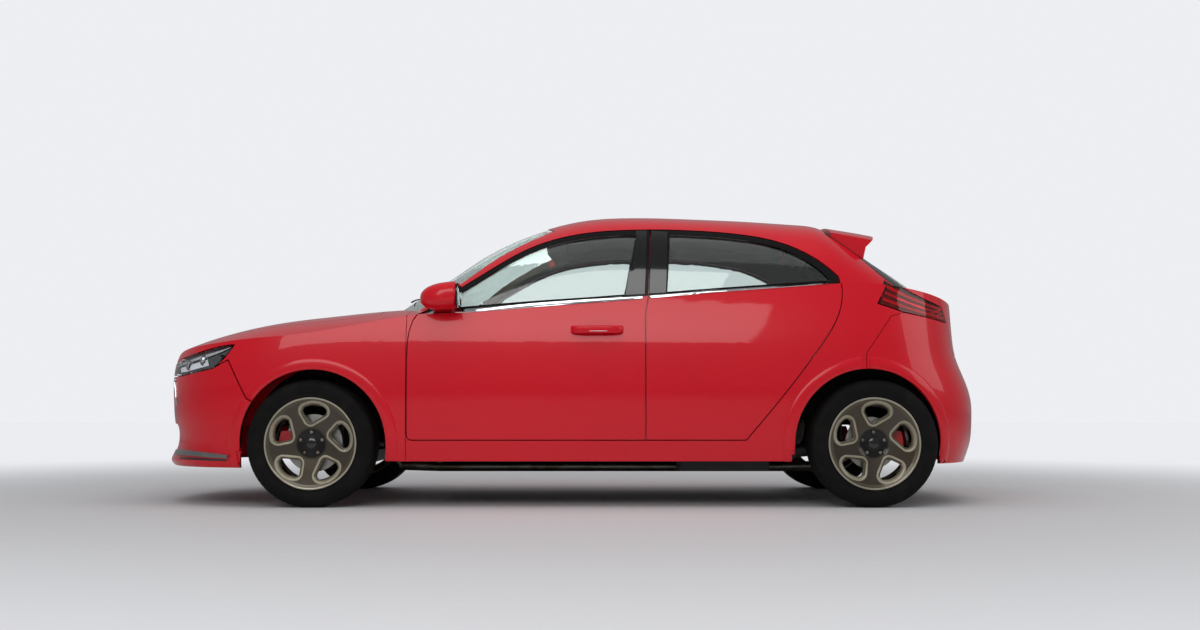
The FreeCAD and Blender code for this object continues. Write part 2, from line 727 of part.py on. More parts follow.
def body_side():
    """The left side frame: sill, pillars, roof rail and rear quarter with its wheelhouse."""
    region = box(-774, 2000, -1000, -ROOF_EDGE_Y, SILL_Z, 1600)
    pillar_region = box(-1000, -774, -1000, -ROOF_EDGE_Y, 900, 1600)
    below_wing = box(-840, -774, -1000, -ROOF_EDGE_Y, SILL_Z, 880)
    outer = outer_body()
    inner = inner_body(size("side_depth"), size("pillar_depth"))
    wall = outer.common(region).cut(inner)
    post = cabins(0).common(pillar_region).cut(cabins(size("pillar_depth")))
    wing_room = size("wing_wall") + 3
    post = post.cut(box(-1000, -774, -1000, 0, 0, 1600).common(decks(-wing_room)))
    hinge_post = flanks(26).common(below_wing).cut(flanks(size("side_depth")))
    wall = joined([wall, post, hinge_post])
    for outline in (FRONT_DOOR, REAR_DOOR):
        step = side_prism(side_wire(grown(outline, GAP / 2)), -across(1000), -across(300))
        below = below_belt(BELOW_BELT)
        wall = wall.cut(step.common(below).cut(flanks(size("rebate"))))
        wall = wall.cut(step.cut(below).cut(cabins(size("rebate"))))
        opening = side_wire(grown(outline, -DOOR_LAND))
        wall = wall.cut(side_prism(opening, -across(1000), -across(300)))
        if outline is FRONT_DOOR:
            notch = side_prism(side_wire(DOOR_NOTCH), -across(1000), -across(300))
            wall = wall.cut(notch.cut(flanks(size("rebate"))))
    wall = without_screen(wall)
    tub = wheelhouse(False, WHEELHOUSE_REAR_RADIUS + WHEELHOUSE_WALL,
                     -across(800), -across(WHEELHOUSE_REAR_Y - WHEELHOUSE_WALL))
    tub = tub.common(box(0, 2000, -1000, 0, SILL_Z + 14, 1000))
    tub = tub.cut(box(0, 2000, -WHEELHOUSE_REAR_Y - 2, 0, 0, BOOT_Z - 40))
    wall = wall.fuse(tub)
    wall = wall.cut(wheelhouse(False, WHEELHOUSE_REAR_RADIUS, -across(862),
                               -across(WHEELHOUSE_REAR_Y)))
    wall = wall.cut(side_prism(arch_opening(False), -across(1000), -across(850)))
    bumper = side_prism(side_wire(grown(REAR_BUMPER, 0.0)), -across(1000), across(1000))
    layer = bumper.cut(flanks(size("bumper_wall") + 2))
    wall = wall.cut(layer)
    lamp = side_prism(side_wire(grown(TAIL_LAMP, 2)), -across(1000), -across(500))
    wall = wall.cut(lamp.cut(lamp_core()))
    hatch = rear_prism(rear_wire(grown(TAILGATE, GAP)), along(TAILGATE_X), along(2300))
    wall = wall.cut(hatch)
    wall = wall.cut(box(TAIL_PANEL_X, 2300, -1000, 1000, 0, 1600))
    for outline_x in (FRONT_DOOR_X, REAR_DOOR_X):
        for pin in door_pins(outline_x):
            wall = wall.fuse(hinge_eye(pin, UP, RIGHT, 30))
    return wall


def lamp_core():
    depth = size("lamp_depth")
    return flanks(depth).common(decks(depth)).fuse(cabins(depth))


@lru_cache(maxsize=None)
def screen_pane():
    """The windscreen's own layer, which whatever carries it leaves free."""
    glass_back = size("glass_inset") + size("glass") + 0.3
    return plan_prism(plan_wire(grown(SCREEN, 3)), 700, 1700).cut(cabins(glass_back))


def without_screen(panel):
    """The panel less what the windscreen takes: its own layer, and a smaller opening."""
    opening = plan_prism(plan_wire(grown(SCREEN, -24)), 700, 1700)
    return panel.cut(opening).cut(screen_pane())


def windscreen():
    region = plan_prism(plan_wire(SCREEN), 850, 1700)
    front = size("glass_inset")
    return region.common(cabins(front)).cut(cabins(front + size("glass")))


HATCH_HINGE_Y = [-150.0, 150.0]
BONNET_HINGE_Y = [-380.0, 380.0]
BONNET_REAR_X = -925.0
HEADER_DEPTH = 50.0
HEADER_REBATE = 28.0


def hatch_pin(y):
    x = along(TAILGATE_X) + GAP + size("hinge_setback")
    return Vector(x, across(y), up(ROOF(TAILGATE_X + GAP)) - size("hinge_inset"))


def bonnet_pin(y):
    x = along(BONNET_REAR_X) - size("hinge_setback")
    return Vector(x, across(y), up(CREST(BONNET_REAR_X)) - size("hinge_inset"))


def roof_panel():
    """The roof skin with its front and rear headers and the tailgate's hinge eyes."""
    edge = ROOF_EDGE_Y
    region = box(-400, TAILGATE_X, -edge, edge, 1000, 1600)
    skin = region.common(cabins(0)).cut(cabins(size("roof_wall")))
    front = box(-140, -30, -edge, edge, 1000, 1600).common(cabins(size("roof_wall") - 1))
    rear = box(TAILGATE_X - 80, TAILGATE_X - 14, -edge, edge, 1000, 1600)
    rear = rear.common(cabins(size("roof_wall") - 1))
    flange = box(TAILGATE_X - 20, TAILGATE_X + 38, -edge + 30, edge - 30, 1000, 1600)
    flange = flange.common(cabins(HEADER_REBATE))
    headers = joined([front, rear, flange]).cut(cabins(HEADER_DEPTH))
    roof = without_screen(skin.fuse(headers))
    eyes = [hinge_eye(hatch_pin(y), RIGHT, -UP, 32) for y in HATCH_HINGE_Y]
    return joined([roof] + eyes)


# Tailgate.
def tailgate():
    """The hatch: an outer skin with the backlight's opening round a deeper inner frame."""
    start = along(TAILGATE_X) + GAP
    region = rear_prism(rear_wire(TAILGATE), start, along(2300))
    depth = size("door_skin")
    skin = region.common(outer_body()).cut(inner_body(depth, depth))
    deep = size("tailgate_wall")
    smaller = rear_wire(grown(TAILGATE, -size("door_shrink")))
    frame = rear_prism(smaller, start + size("door_shrink"), along(2300))
    frame = frame.common(inner_body(depth - 2, depth - 2)).cut(inner_body(deep, deep))
    panel = skin.fuse(frame).cut(rear_prism(rear_wire(BACKLIGHT), start + 20, along(1930)))
    for y in HATCH_HINGE_Y:
        pin = hatch_pin(y)
        panel = panel.cut(hinge_pocket(pin, RIGHT, -UP, AHEAD)).fuse(hinge_pin(pin, RIGHT))
    return panel


def tailgate_glass():
    front = size("glass_inset")
    region = rear_prism(rear_wire(grown(BACKLIGHT, -0.3)), along(1340), along(1930))
    return region.common(cabins(front)).cut(cabins(front + size("glass")))


SPOILER_TOP = [(1316, 1300), (1316, 1600), (1552, 1600), (1556, 1352), (1520, 1322), (1498, 1284),
               (1478, 1284), (1440, 1300)]


def rear_spoiler():
    """The wing over the backlight, standing on the tailgate's skin."""
    profile = side_wire([(1322, 1200), (1322, 1600), (1556, 1600), (1556, 1352),
                         [(1556, 1352), (1530, 1318), (1500, 1288)], (1480, 1200)])
    region = side_prism(profile, -across(530), across(530))
    return region.common(cabin(0, ROOF_TO_SPOILER)).cut(cabins(-0.3))


# Nose.
def bonnet():
    """The bonnet with its inner frame."""
    gap = GAP / 2
    region = plan_prism(plan_wire(grown(BONNET, -gap)), up(BONNET_LIP_Z) + gap, 1200)
    wall = size("lid_wall")
    block = lower_body(True, 0).common(decks(0)).common(region)
    lid = block.cut(lower_body(True, wall).common(decks(wall)))
    for y in BONNET_HINGE_Y:
        pin = bonnet_pin(y)
        lid = lid.cut(hinge_pocket(pin, RIGHT, -UP, -AHEAD)).fuse(hinge_pin(pin, RIGHT))
    return lid


def nose_block(inset):
    return lower_body(True, inset).common(decks(inset))


def headlamp():
    gap = GAP / 2
    region = side_prism(side_wire(grown(HEADLAMP, -gap)), -across(1000),
                        -across(HEADLAMP_INNER_Y) - gap)
    region = region.cut(plan_prism(plan_wire(grown(BONNET, gap)), up(BONNET_LIP_Z) - gap, 1200))
    depth = size("lamp_depth")
    return region.common(nose_block(0)).cut(nose_block(depth))


def front_wing():
    """The left front wing, from the headlamp and bumper to the door."""
    gap = GAP / 2
    wall = size("wing_wall")
    region = box(-2300, -774 - gap, -1000, -400, SILL_Z, 1400)
    body = region.common(nose_block(0)).cut(nose_block(wall))
    body = body.cut(plan_prism(plan_wire(grown(BONNET, gap)), 500, 1400))
    for outline in (HEADLAMP, FRONT_BUMPER):
        body = body.cut(side_prism(side_wire(grown(outline, gap)), -across(1000), across(1000)))
    body = body.cut(cabins(-gap))
    return body.cut(side_prism(arch_opening(True), -across(1000), 0))


GRILLE = [(-465, 622, 12), (-438, 655), (-430, 690, 8), (430, 690, 8), (438, 655), (465, 622, 12),
          (430, 560, 20), (-430, 560, 20)]
INTAKE = [(-560, 395, 25), (560, 395, 25), (470, 262, 25), (-470, 262, 25)]


def front_bumper():
    """The bumper cover with its grille and intake openings and the tow eye's hole."""
    gap = GAP / 2
    wall = size("bumper_wall")
    side = side_prism(side_wire(grown(FRONT_BUMPER, -gap)), -across(1000), across(1000))
    centre = box(-2300, -1700, -HEADLAMP_INNER_Y, HEADLAMP_INNER_Y, 600, BONNET_LIP_Z - gap)
    cover = side.fuse(centre).common(nose_block(0)).cut(nose_block(wall))
    for opening in (GRILLE, INTAKE):
        cover = cover.cut(rear_prism(rear_wire(opening), along(-2300), along(-1800)))
    cover = cover.cut(rod(at(-2200, TOW_Y, TOW_Z), at(-1900, TOW_Y, TOW_Z), 18))
    cover = cover.cut(box(-2300, -1000, -1000, 1000, 0, 187))
    return cover.cut(side_prism(arch_opening(True), -across(1000), across(1000)))


TOW_Y = 400.0
TOW_Z = 480.0


def grille():
    """Slats of the upper grille and the lower intake, seated in the bumper's openings."""
    parts = []
    for opening, levels in ((GRILLE, (585, 615, 645, 672)), (INTAKE, (290, 330, 370))):
        mouth = rear_prism(rear_wire(grown(opening, -0.3)), along(-2300), along(-1800))
        for level in levels:
            parts.append(box(-2300, -1700, -600, 600, level - 5, level + 5).common(mouth))
        for y in (-300, 0, 300):
            parts.append(box(-2300, -1700, y - 6, y + 6, 200, 800).common(mouth))
    layer = nose_block(12).cut(nose_block(size("bumper_wall") + 8))
    return joined(parts).common(layer)


def rear_bumper():
    gap = GAP / 2
    wall = size("bumper_wall")
    region = side_prism(side_wire(grown(REAR_BUMPER, -gap)), -across(1000), across(1000))
    cover = region.common(lower_body(False, 0).common(decks(0))).cut(lower_body(False, wall))
    cover = cover.cut(rear_prism(rear_wire(grown(TAILGATE, GAP)), along(1500), along(2300)))
    cover = cover.cut(box(1000, 2300, -1000, 1000, 0, 205))
    return cover.cut(side_prism(arch_opening(False), -across(1000), across(1000)))


def tail_lamp():
    gap = GAP / 2
    region = side_prism(side_wire(grown(TAIL_LAMP, -gap)), -across(1000), -across(500))
    region = region.cut(rear_prism(rear_wire(grown(TAILGATE, GAP)), along(1300), along(2300)))
    return region.common(outer_body()).cut(lamp_core())


# Sketched bodies.
def new_body(name):
    return DOC.addObject("PartDesign::Body", name)


def sketch_on(body, name, role, offset=0.0):
    """An empty sketch on one of the body's own origin planes, moved along its normal."""
    sketch = body.newObject("Sketcher::SketchObject", name)
    plane = next(item for item in body.Origin.OriginFeatures if item.Role == role)
    sketch.AttachmentSupport = [(plane, "")]
    sketch.MapMode = "FlatFace"
    sketch.AttachmentOffset = Placement(Vector(0, 0, offset), Rotation())
    return sketch


def draw(sketch, points):
    """A closed outline of corners, or of (corner, arc's middle point) pairs for arcs."""
    count = len(points)
    for index, point in enumerate(points):
        start = Vector(point[0], point[1], 0)
        following = points[(index + 1) % count]
        end = Vector(following[0], following[1], 0)
        if len(point) == 4:
            sketch.addGeometry(Part.Arc(start, Vector(point[2], point[3], 0), end), False)
        else:
            sketch.addGeometry(Part.LineSegment(start, end), False)


def revolve(body, name, sketch, kind="PartDesign::Revolution"):
    feature = body.newObject(kind, name)
    feature.Profile = sketch
    feature.ReferenceAxis = (sketch, ["V_Axis"])
    feature.Angle = 360.0
    return feature


def pocket(body, name, sketch, depth, taper=0.0, backwards=False):
    feature = body.newObject("PartDesign::Pocket", name)
    feature.Profile = sketch
    feature.Length = depth
    feature.Reversed = backwards
    feature.TaperAngle = taper
    return feature


def around(body, name, feature, sketch, expression):
    """Repeat a feature about the wheel's axis, as often as the sheet says."""
    pattern = body.newObject("PartDesign::PolarPattern", name)
    pattern.Originals = [feature]
    pattern.Axis = (sketch, ["N_Axis"])
    pattern.Angle = 360.0
    pattern.setExpression("Occurrences", expression)
    return pattern


def rounded_outline(corners):
    """Points for draw: corners (x, y, radius), each turned into an arc with its middle point."""
    points = []
    for index, (x, y, radius) in enumerate(corners):
        before = corners[index - 1]
        after = corners[(index + 1) % len(corners)]
        legs = []
        for other in (before, after):
            length = math.dist(other[:2], (x, y))
            legs.append(((other[0] - x) / length, (other[1] - y) / length))
        (ax, ay), (bx, by) = legs
        half = math.acos(ax * bx + ay * by) / 2
        run = radius / math.tan(half)
        norm = math.hypot(ax + bx, ay + by)
        reach = radius / math.sin(half) - radius
        points.append((x + ax * run, y + ay * run, x + (ax + bx) / norm * reach,
                       y + (ay + by) / norm * reach))
        points.append((x + bx * run, y + by * run))
    return points


WINDOW_OUTER = 178.0
WINDOW_INNER = 88.0
WINDOW_SPREAD = 25.5
WINDOW_SWIRL = 7.0
BEVEL = 11.0


def window_outline(margin):
    """One wheel window, a rounded triangle that leans round the wheel, grown by margin."""
    def polar(radius, degrees):
        turn = math.radians(90 + degrees)
        return radius * math.cos(turn), radius * math.sin(turn)

    left = polar(WINDOW_OUTER, WINDOW_SPREAD - WINDOW_SWIRL)
    right = polar(WINDOW_OUTER, -WINDOW_SPREAD - WINDOW_SWIRL)
    top = polar(WINDOW_OUTER + 26, -WINDOW_SWIRL)
    foot = polar(WINDOW_INNER, WINDOW_SWIRL)
    corners = [left + (24,), top + (90,), right + (24,), foot + (20,)]
    return rounded_outline(grown_corners(corners, margin))


def grown_corners(corners, distance):
    """Corners (x, y, radius) moved outward by distance, with their radii."""
    return [point if len(point) == 3 else point + (1.0,) for point in grown(corners, distance)]


def wheel_wire(points, y):
    """The outline drawn in the wheel's own plane, at distance y along its axle."""
    edges = []
    count = len(points)
    for index, point in enumerate(points):
        following = points[(index + 1) % count]
        start = Vector(point[0], y, point[1])
        end = Vector(following[0], y, following[1])
        if len(point) == 4:
            edges.append(Part.Arc(start, Vector(point[2], y, point[3]), end).toShape())
        else:
            edges.append(Part.makeLine(start, end))
    return Part.Wire(edges)


def round_the_axle(shape, count):
    copies = []
    for number in range(count):
        copy = shape.copy()
        copy.rotate(Vector(0, 0, 0), RIGHT, number * 360.0 / count)
        copies.append(copy)
    return copies


RIM_LIP = 18.0


def rim():
    """A cast wheel: barrel, dished face, windows with a wide bevel, bolt holes and a plain cap."""
    half = size("rim_width") / 2
    seat = size("rim_radius")
    lip = seat + RIM_LIP
    profile = [(lip, -half - 10), (lip, -half), (seat, -half + 2), (seat, -half + 22),
               (seat - 16, -half + 34), (seat - 16, half - 50), (seat, half - 30),
               (seat, half - 2), (lip, half), (lip, half + 8), (lip - 6, half + 8),
               (seat - 8, half - 2), (seat - 8, half - 26), (seat - 24, half - 48),
               (seat - 24, -44), (150, -42), (70, -34), (30, -30), (30, -38), (0, -38),
               (0, -66), (27, -66), (30, -62), (36, -61), (60, -64), (78, -74), (130, -82),
               (172, -88), (seat - 5, -half - 3), (lip - 5, -half - 10)]
    corners = [Vector(radius, y, 0) for radius, y in profile]
    blank = Part.Face(Part.makePolygon(corners + corners[:1]))
    blank = blank.revolve(Vector(0, 0, 0), RIGHT, 360)
    face_y = -half - 4
    bevel = Part.makeLoft([wheel_wire(window_outline(BEVEL), face_y),
                           wheel_wire(window_outline(0), face_y + BEVEL)], True, True)
    window = Part.Face(wheel_wire(window_outline(0), face_y)).extrude(Vector(0, half, 0))
    bolt = Part.makeCylinder(10.5, half, Vector(0, -half - 4, size("bolt_circle") / 2), RIGHT)
    bolt = bolt.common(Part.makeBox(400, half + 4 - 20, 400, Vector(-200, -half - 4, -200)))
    cutters = round_the_axle(bevel.fuse(window), int(size("spokes")))
    cutters += round_the_axle(bolt, int(size("wheel_bolts")))
    return blank.cut(cutters)


def tyre(name):
    """A radial tyre: beads on the rim's seats, bulged sidewalls and a tread with shoulders."""
    bead = size("rim_radius") + 0.3
    road = size("tyre_radius")
    half = size("tyre_width") / 2
    seat = size("rim_width") / 2 - 4
    height = road - bead
    body = new_body(name)
    profile = sketch_on(body, name + "_section", "XY_Plane")
    side = [(bead, -seat), (size("rim_radius") + RIM_LIP + 1.5, -seat), (bead + height * 0.5, -half),
            (bead + height * 0.75, -half + 2), (road - 8, -half + 12), (road, -half + 28)]
    inner = [(bead, -seat + 18), (bead + 14, -seat + 10), (bead + height * 0.5, -half + 9),
             (road - 16, -half + 18)]
    other_side = [(radius, -y) for radius, y in reversed(side)]
    other_inner = [(radius, -y) for radius, y in inner]
    draw(profile, side + other_side + other_inner + list(reversed(inner)))
    revolve(body, name + "_carcass", profile)
    return body


# Floor and front.
TUNNEL_Y = 95.0
TUNNEL_TOP = 400.0
KICK_UP_X = 1050.0
FLOOR_Y = 745.0


def floor_pan():
    """The floor with its tunnel, the kick-up, the boot floor and the rear panel."""
    top = FLOOR_Z + FLOOR_PLATE
    floor = box(-775, KICK_UP_X, -FLOOR_Y, FLOOR_Y, FLOOR_Z, top)
    tunnel = box(-775, KICK_UP_X, -TUNNEL_Y, TUNNEL_Y, FLOOR_Z, TUNNEL_TOP)
    hollow = box(-776, KICK_UP_X - 20, -TUNNEL_Y + 8, TUNNEL_Y - 8, FLOOR_Z - 1, TUNNEL_TOP - 8)
    kick = box(KICK_UP_X - 20, KICK_UP_X, -624, 624, FLOOR_Z, BOOT_Z)
    boot = box(KICK_UP_X - 20, TAIL_PANEL_X, -624, 624, BOOT_Z - 20, BOOT_Z)
    rear = box(TAIL_PANEL_X - 15, TAIL_PANEL_X, -624, 624, 330, 716)
    rails = [box(KICK_UP_X - 20, TAIL_PANEL_X, y - 35, y + 35, BOOT_Z - 90, BOOT_Z - 19)
             for y in (-470, 470)]
    cross = box(TAIL_PANEL_X, TAIL_PANEL_X + 55, -560, 560, 400, 520)
    floor = joined([floor, tunnel, kick, boot, rear, cross] + rails).cut(hollow)
    for y_from, y_to in ((-1000, -ROOF_EDGE_Y + 1), (ROOF_EDGE_Y - 1, 1000)):
        corner = box(1500, 2400, y_from, y_to, 0, 900)
        floor = floor.cut(corner.cut(lower_body(False, size("side_depth") + SEAT_PLAY)))
    return floor.cut(lower_body_room())


def lower_body_room():
    """The space outside the bumper's inner face, for what must stay inside it."""
    around_all = box(1500, 2400, -1000, 1000, 0, 900)
    return around_all.cut(lower_body(False, size("bumper_wall") + 6))


COWL_DEPTH = 45.0
TOW_HOLE = 8.0
SEAT_PLAY = 0.3
ENGINE_SIDE = {-1: 310.0, 1: 330.0}
STRUT_TOP = (GRID_FRONT_X + 35, -540.0, 880.0)
BALL_JOINT = (GRID_FRONT_X, -705.0, 190.0)


def front_structure():
    """Bulkhead, cowl, inner wings with strut towers, front rails and the radiator support."""
    bulkhead = box(BULKHEAD_X, -775, -FLOOR_Y, FLOOR_Y, FLOOR_Z, 900)
    cowl = box(-965, -800, -700, 700, 700, 1100).common(decks(COWL_DEPTH))
    cowl = cowl.cut(box(-2000, 0, -1000, 1000, 0, 1100).common(decks(COWL_DEPTH + 60)))
    shelf = box(-900, -775, -FLOOR_Y, FLOOR_Y, 840, 880)
    seat = plan_prism(plan_wire([(-925, -690), (-925, 690), (-800, 680), (-845, 420),
                                 (-860, 0), (-845, -420), (-800, -680)]), 800, 1200)
    glass_back = size("glass_inset") + size("glass") + 0.3
    seat = seat.common(cabins(glass_back)).cut(cabins(45)).cut(box(-1000, 0, -1000, 1000, 0, 905))
    post = box(-925, -890, -600, 600, 840, 1100).common(decks(COWL_DEPTH))
    pieces = [bulkhead, cowl, shelf, seat, post]
    tower_x = STRUT_TOP[0]
    for side in (-1, 1):
        y_in, y_out = sorted((side * (APRON_Y - APRON_WALL), side * APRON_Y))
        pieces.append(box(-1880, -780, y_in, y_out, 400, 800))
        y_in, y_out = sorted((side * 400, side * APRON_Y))
        pieces.append(box(-1985, -780, y_in, y_out, 385, 500))
        y_in, y_out = sorted((side * (APRON_Y - APRON_WALL), side * 620))
        pieces.append(box(tower_x - 85, tower_x + 85, y_in, y_out, 838, 850))
        for x in (tower_x - 85, tower_x + 73):
            pieces.append(box(x, x + 12, y_in, y_out, 700, 850))
        y_in, y_out = sorted((side * 401, side * (ENGINE_SIDE[side] + SEAT_PLAY)))
        pieces.append(box(-1300, -1220, y_in, y_out, 440, 490))
    support_y = HEADLAMP_INNER_Y - 4
    pieces.append(box(-1985, -1945, -support_y, support_y, 640, 690))
    pieces.append(box(-1985, -1945, -APRON_Y, APRON_Y, 385, 450))
    for y in (-support_y + 15, 0, support_y - 15):
        pieces.append(box(-1985, -1945, y - 15, y + 15, 385, 690))
    pieces.append(box(-1990, -1940, 380, 440, 400, 500))
    structure = joined(pieces).common(nose_block(34).fuse(cabins(9)))
    eyes = [hinge_eye(bonnet_pin(y), RIGHT, -UP, 46) for y in BONNET_HINGE_Y]
    tow = rod(at(-2040, TOW_Y, TOW_Z), at(-1965, TOW_Y, TOW_Z), 16)
    structure = joined([structure] + eyes + [tow]).cut(windscreen())
    strut = rod(on_axis(780), on_axis(900), 10 + SEAT_PLAY)
    structure = structure.cut(strut).cut(mirrored(strut))
    hole = rod(at(-2041, TOW_Y, TOW_Z), at(-1995, TOW_Y, TOW_Z), TOW_HOLE)
    return structure.cut(hole)


# Running gear.
HUB_FACE = 30.0


def brake_disc(front):
    """The disc with its hat and hub, turned about the axle, outboard side at negative Y."""
    radius = size("disc_radius_front" if front else "disc_radius_rear")
    half = size("disc_thickness") / 2
    hat = size("hub_radius")
    face = -HUB_FACE + SEAT_PLAY
    profile = [(0, face), (hat, face), (hat, 4 - half), (radius, 4 - half),
               (radius, 4 + half), (hat - 8, 4 + half), (hat - 8, face + 10), (38, face + 10),
               (38, HUB_FACE), (0, HUB_FACE)]
    corners = [Vector(r, y, 0) for r, y in profile]
    disc = Part.Face(Part.makePolygon(corners + corners[:1]))
    return disc.revolve(Vector(0, 0, 0), RIGHT, 360)


def caliper(front):
    """A caliper that straddles the disc, drawn forward of the axle at negative X."""
    radius = size("disc_radius_front" if front else "disc_radius_rear")
    half = size("disc_thickness") / 2
    ring = Part.makeCylinder(radius + 24, 2 * half + 44, Vector(0, -half - 18, 0), RIGHT)
    ring = ring.cut(Part.makeCylinder(radius - 46, 200, Vector(0, -100, 0), RIGHT))
    block = ring.common(Part.makeBox(400, 400, 118, Vector(-400, -200, -59)))
    slot = Part.makeCylinder(radius + 3, 2 * half + 4, Vector(0, 4 - half - 2, 0), RIGHT)
    block = block.cut(slot)
    bolts = [Part.makeCylinder(9, 16, Vector(-radius - 4, half + 20, z), RIGHT)
             for z in (-38, 38)]
    return joined([block] + bolts)


def in_place(shape, x, side):
    """A part drawn for the left wheel, moved to its axle on one side of the car."""
    copy = shape.copy()
    copy.translate(Vector(x, -WHEEL_Y, WHEEL_Z))
    return copy if side < 0 else mirrored(copy)


def steering_axis():
    low = Vector(along(BALL_JOINT[0]), across(BALL_JOINT[1]), up(BALL_JOINT[2]))
    high = Vector(along(STRUT_TOP[0]), across(STRUT_TOP[1]), up(STRUT_TOP[2]))
    return low, high


def on_axis(level):
    low, high = steering_axis()
    return low + (high - low) * ((up(level) - low.z) / (high.z - low.z))


def knuckle():
    """The left hub carrier with its strut, spring and the socket over the ball joint."""
    hub_y = -WHEEL_Y + HUB_FACE + SEAT_PLAY
    centre = Vector(FRONT_X, hub_y, WHEEL_Z)
    carrier = Part.makeCylinder(50, 44, centre, RIGHT)
    joint = on_axis(190)
    socket = rod(on_axis(198), on_axis(250), 20)
    upright = Part.makeBox(44, 34, 150, Vector(FRONT_X - 22, hub_y + 14, WHEEL_Z - 90))
    neck = rod(Vector(FRONT_X, hub_y + 40, WHEEL_Z + 30), on_axis(480), 20)
    strut = rod(on_axis(452), on_axis(660), 22)
    seat = rod(on_axis(632), on_axis(640), 58)
    cap = rod(on_axis(812), on_axis(820), 54)
    rod_end = rod(on_axis(655), on_axis(861), 10)
    spring = rod(on_axis(640), on_axis(812), 52).cut(rod(on_axis(639), on_axis(813), 38))
    body = joined([carrier, socket, upright, neck, strut, seat, cap, rod_end, spring])
    pocket_ball = Part.makeSphere(13 + SEAT_PLAY, joint)
    bracket = Part.makeBox(110, 14, 40, Vector(FRONT_X - 120, hub_y + 22, WHEEL_Z - 20))
    return body.fuse(bracket).cut(pocket_ball)


def front_subframe():
    """The subframe under the engine with the lower arms out to the ball joints and the rack."""
    x = GRID_FRONT_X
    beam = box(x - 60, x + 200, -330, 330, 190, 250)
    beam = beam.cut(box(x, x + 140, -240, 240, 180, 260))
    pieces = [beam]
    for side in (-1, 1):
        joint = on_axis(190)
        joint = Vector(joint.x, side * abs(joint.y), joint.z)
        for start_x, start_y in ((x - 20, 320), (x + 170, 320)):
            start = Vector(along(start_x), side * across(start_y), joint.z + 14)
            end = Vector(joint.x, side * (abs(joint.y) - 14), joint.z - 11)
            pieces.append(rod(start, end, 12))
        pieces.append(Part.makeSphere(13, joint))
        pieces.append(Part.makeCylinder(15, 12, joint - Vector(0, 0, 22), UP))
        pieces.append(box(x + 100, x + 160, *sorted((side * 400, side * 330)), 200, 250))
        post = sorted((side * 401, side * 460))
        pieces.append(box(x + 90, x + 170, *post, 200, 384.7))
        pieces.append(box(x - 50, x + 20, *sorted((side * 300, side * 330)), 200, 240))
    rack = rod(at(x + 150, -330, 275), at(x + 150, 330, 275), 26)
    return joined(pieces + [rack])


def rear_axle():
    """The twist beam: trailing arms, cross tube, hub carriers, springs and dampers."""
    hub_y = WHEEL_Y - HUB_FACE - SEAT_PLAY
    pieces = [rod(at(1240, -560, 262), at(1240, 560, 262), 34)]
    for side in (-1, 1):
        front = Vector(along(1100), side * across(560), up(255))
        rear = Vector(REAR_X, side * across(585), WHEEL_Z - 10)
        pieces.append(rod(front, rear, 30))
        stub = Vector(REAR_X, side * across(560), WHEEL_Z)
        pieces.append(rod(stub, Vector(REAR_X, side * hub_y, WHEEL_Z), 42))
        pieces.append(rod(front - Vector(0, 40, 0), front + Vector(0, 40, 0), 36))
        foot = Vector(along(1330), side * across(480), up(250))
        pieces.append(rod(foot, Vector(foot.x, foot.y, up(BOOT_Z - 90) - SEAT_PLAY), 48))
        pieces.append(rod(Vector(foot.x, side * across(480), up(262)),
                          Vector(foot.x, side * across(575), up(262)), 26))
        low = Vector(along(1545), side * across(580), up(270))
        pieces.append(rod(low, Vector(along(1520), side * across(560), up(BOOT_Z - 25)), 20))
        pieces.append(rod(low + Vector(0, 0, 10), Vector(REAR_X + 20, side * across(580),
                                                       WHEEL_Z - 20), 18))
        pieces.append(box(1070, 1130, *sorted((side * 505.3, side * 600)), 285, BOOT_Z - 20.3))
    return joined(pieces)


def rear_calipers():
    shape = caliper(False)
    shape.rotate(Vector(0, 0, 0), RIGHT, 180)
    bracket = Part.makeBox(120, 16, 44, Vector(20, size("disc_thickness") / 2 + 12, -22))
    bracket = bracket.cut(Part.makeCylinder(45, 200, Vector(0, -100, 0), RIGHT))
    shape = shape.fuse(bracket)
    return Part.makeCompound([in_place(shape, REAR_X, side) for side in (-1, 1)])


# Engine and underbody.
def engine(name):
    """The engine and gearbox as one plain block with its cover and sump."""
    body = new_body(name)
    base = sketch_on(body, name + "_plan", "XY_Plane", 262.0)
    x = FRONT_X
    draw(base, [(x - 230, -310), (x + 110, -310), (x + 110, 330), (x - 190, 330), (x - 230, 60)])
    block = body.newObject("PartDesign::Pad", name + "_block")
    block.Profile = base
    block.Length = 420.0
    cover = sketch_on(body, name + "_cover_plan", "XY_Plane", 680.0)
    draw(cover, [(x - 160, -270), (x + 90, -270), (x + 90, 120), (x - 160, 120)])
    top = body.newObject("PartDesign::Pad", name + "_cover")
    top.Profile = cover
    top.Length = 90.0
    return body


def exhaust():
    """The exhaust pipe with its bends, the silencer and the tail pipe."""
    route = [(-1114, 60, 400), (-1000, 60, 380), (-960, 50, 250), (-900, 20, 165),
             (-700, 0, 160), (1120, 0, 160), (1380, 120, 160), (1500, 260, 200), (1700, 330, 300)]
    pieces = []
    for first, second in zip(route, route[1:]):
        pieces.append(rod(at(*first), at(*second), 26))
        pieces.append(Part.makeSphere(26.4, at(*second)))
    pieces.append(rod(at(1700, 150, 300), at(1700, 428, 300), 100))
    pieces.append(rod(at(1700, 400, 240), at(1950, 400, 232), 27).cut(
        rod(at(1850, 400, 236), at(1960, 400, 232), 24)))
    for x, y in ((1700, 180), (1700, 400)):
        pieces.append(rod(at(x, y, 390), at(x, y, BOOT_Z - 20.3), 9))
    pieces.append(box(-720, -690, -14, 14, 160, FLOOR_Z + 60))
    pieces.append(box(-730, -680, -TUNNEL_Y + 8.3, TUNNEL_Y - 8.3, FLOOR_Z + 40, FLOOR_Z + 60))
    return joined(pieces)


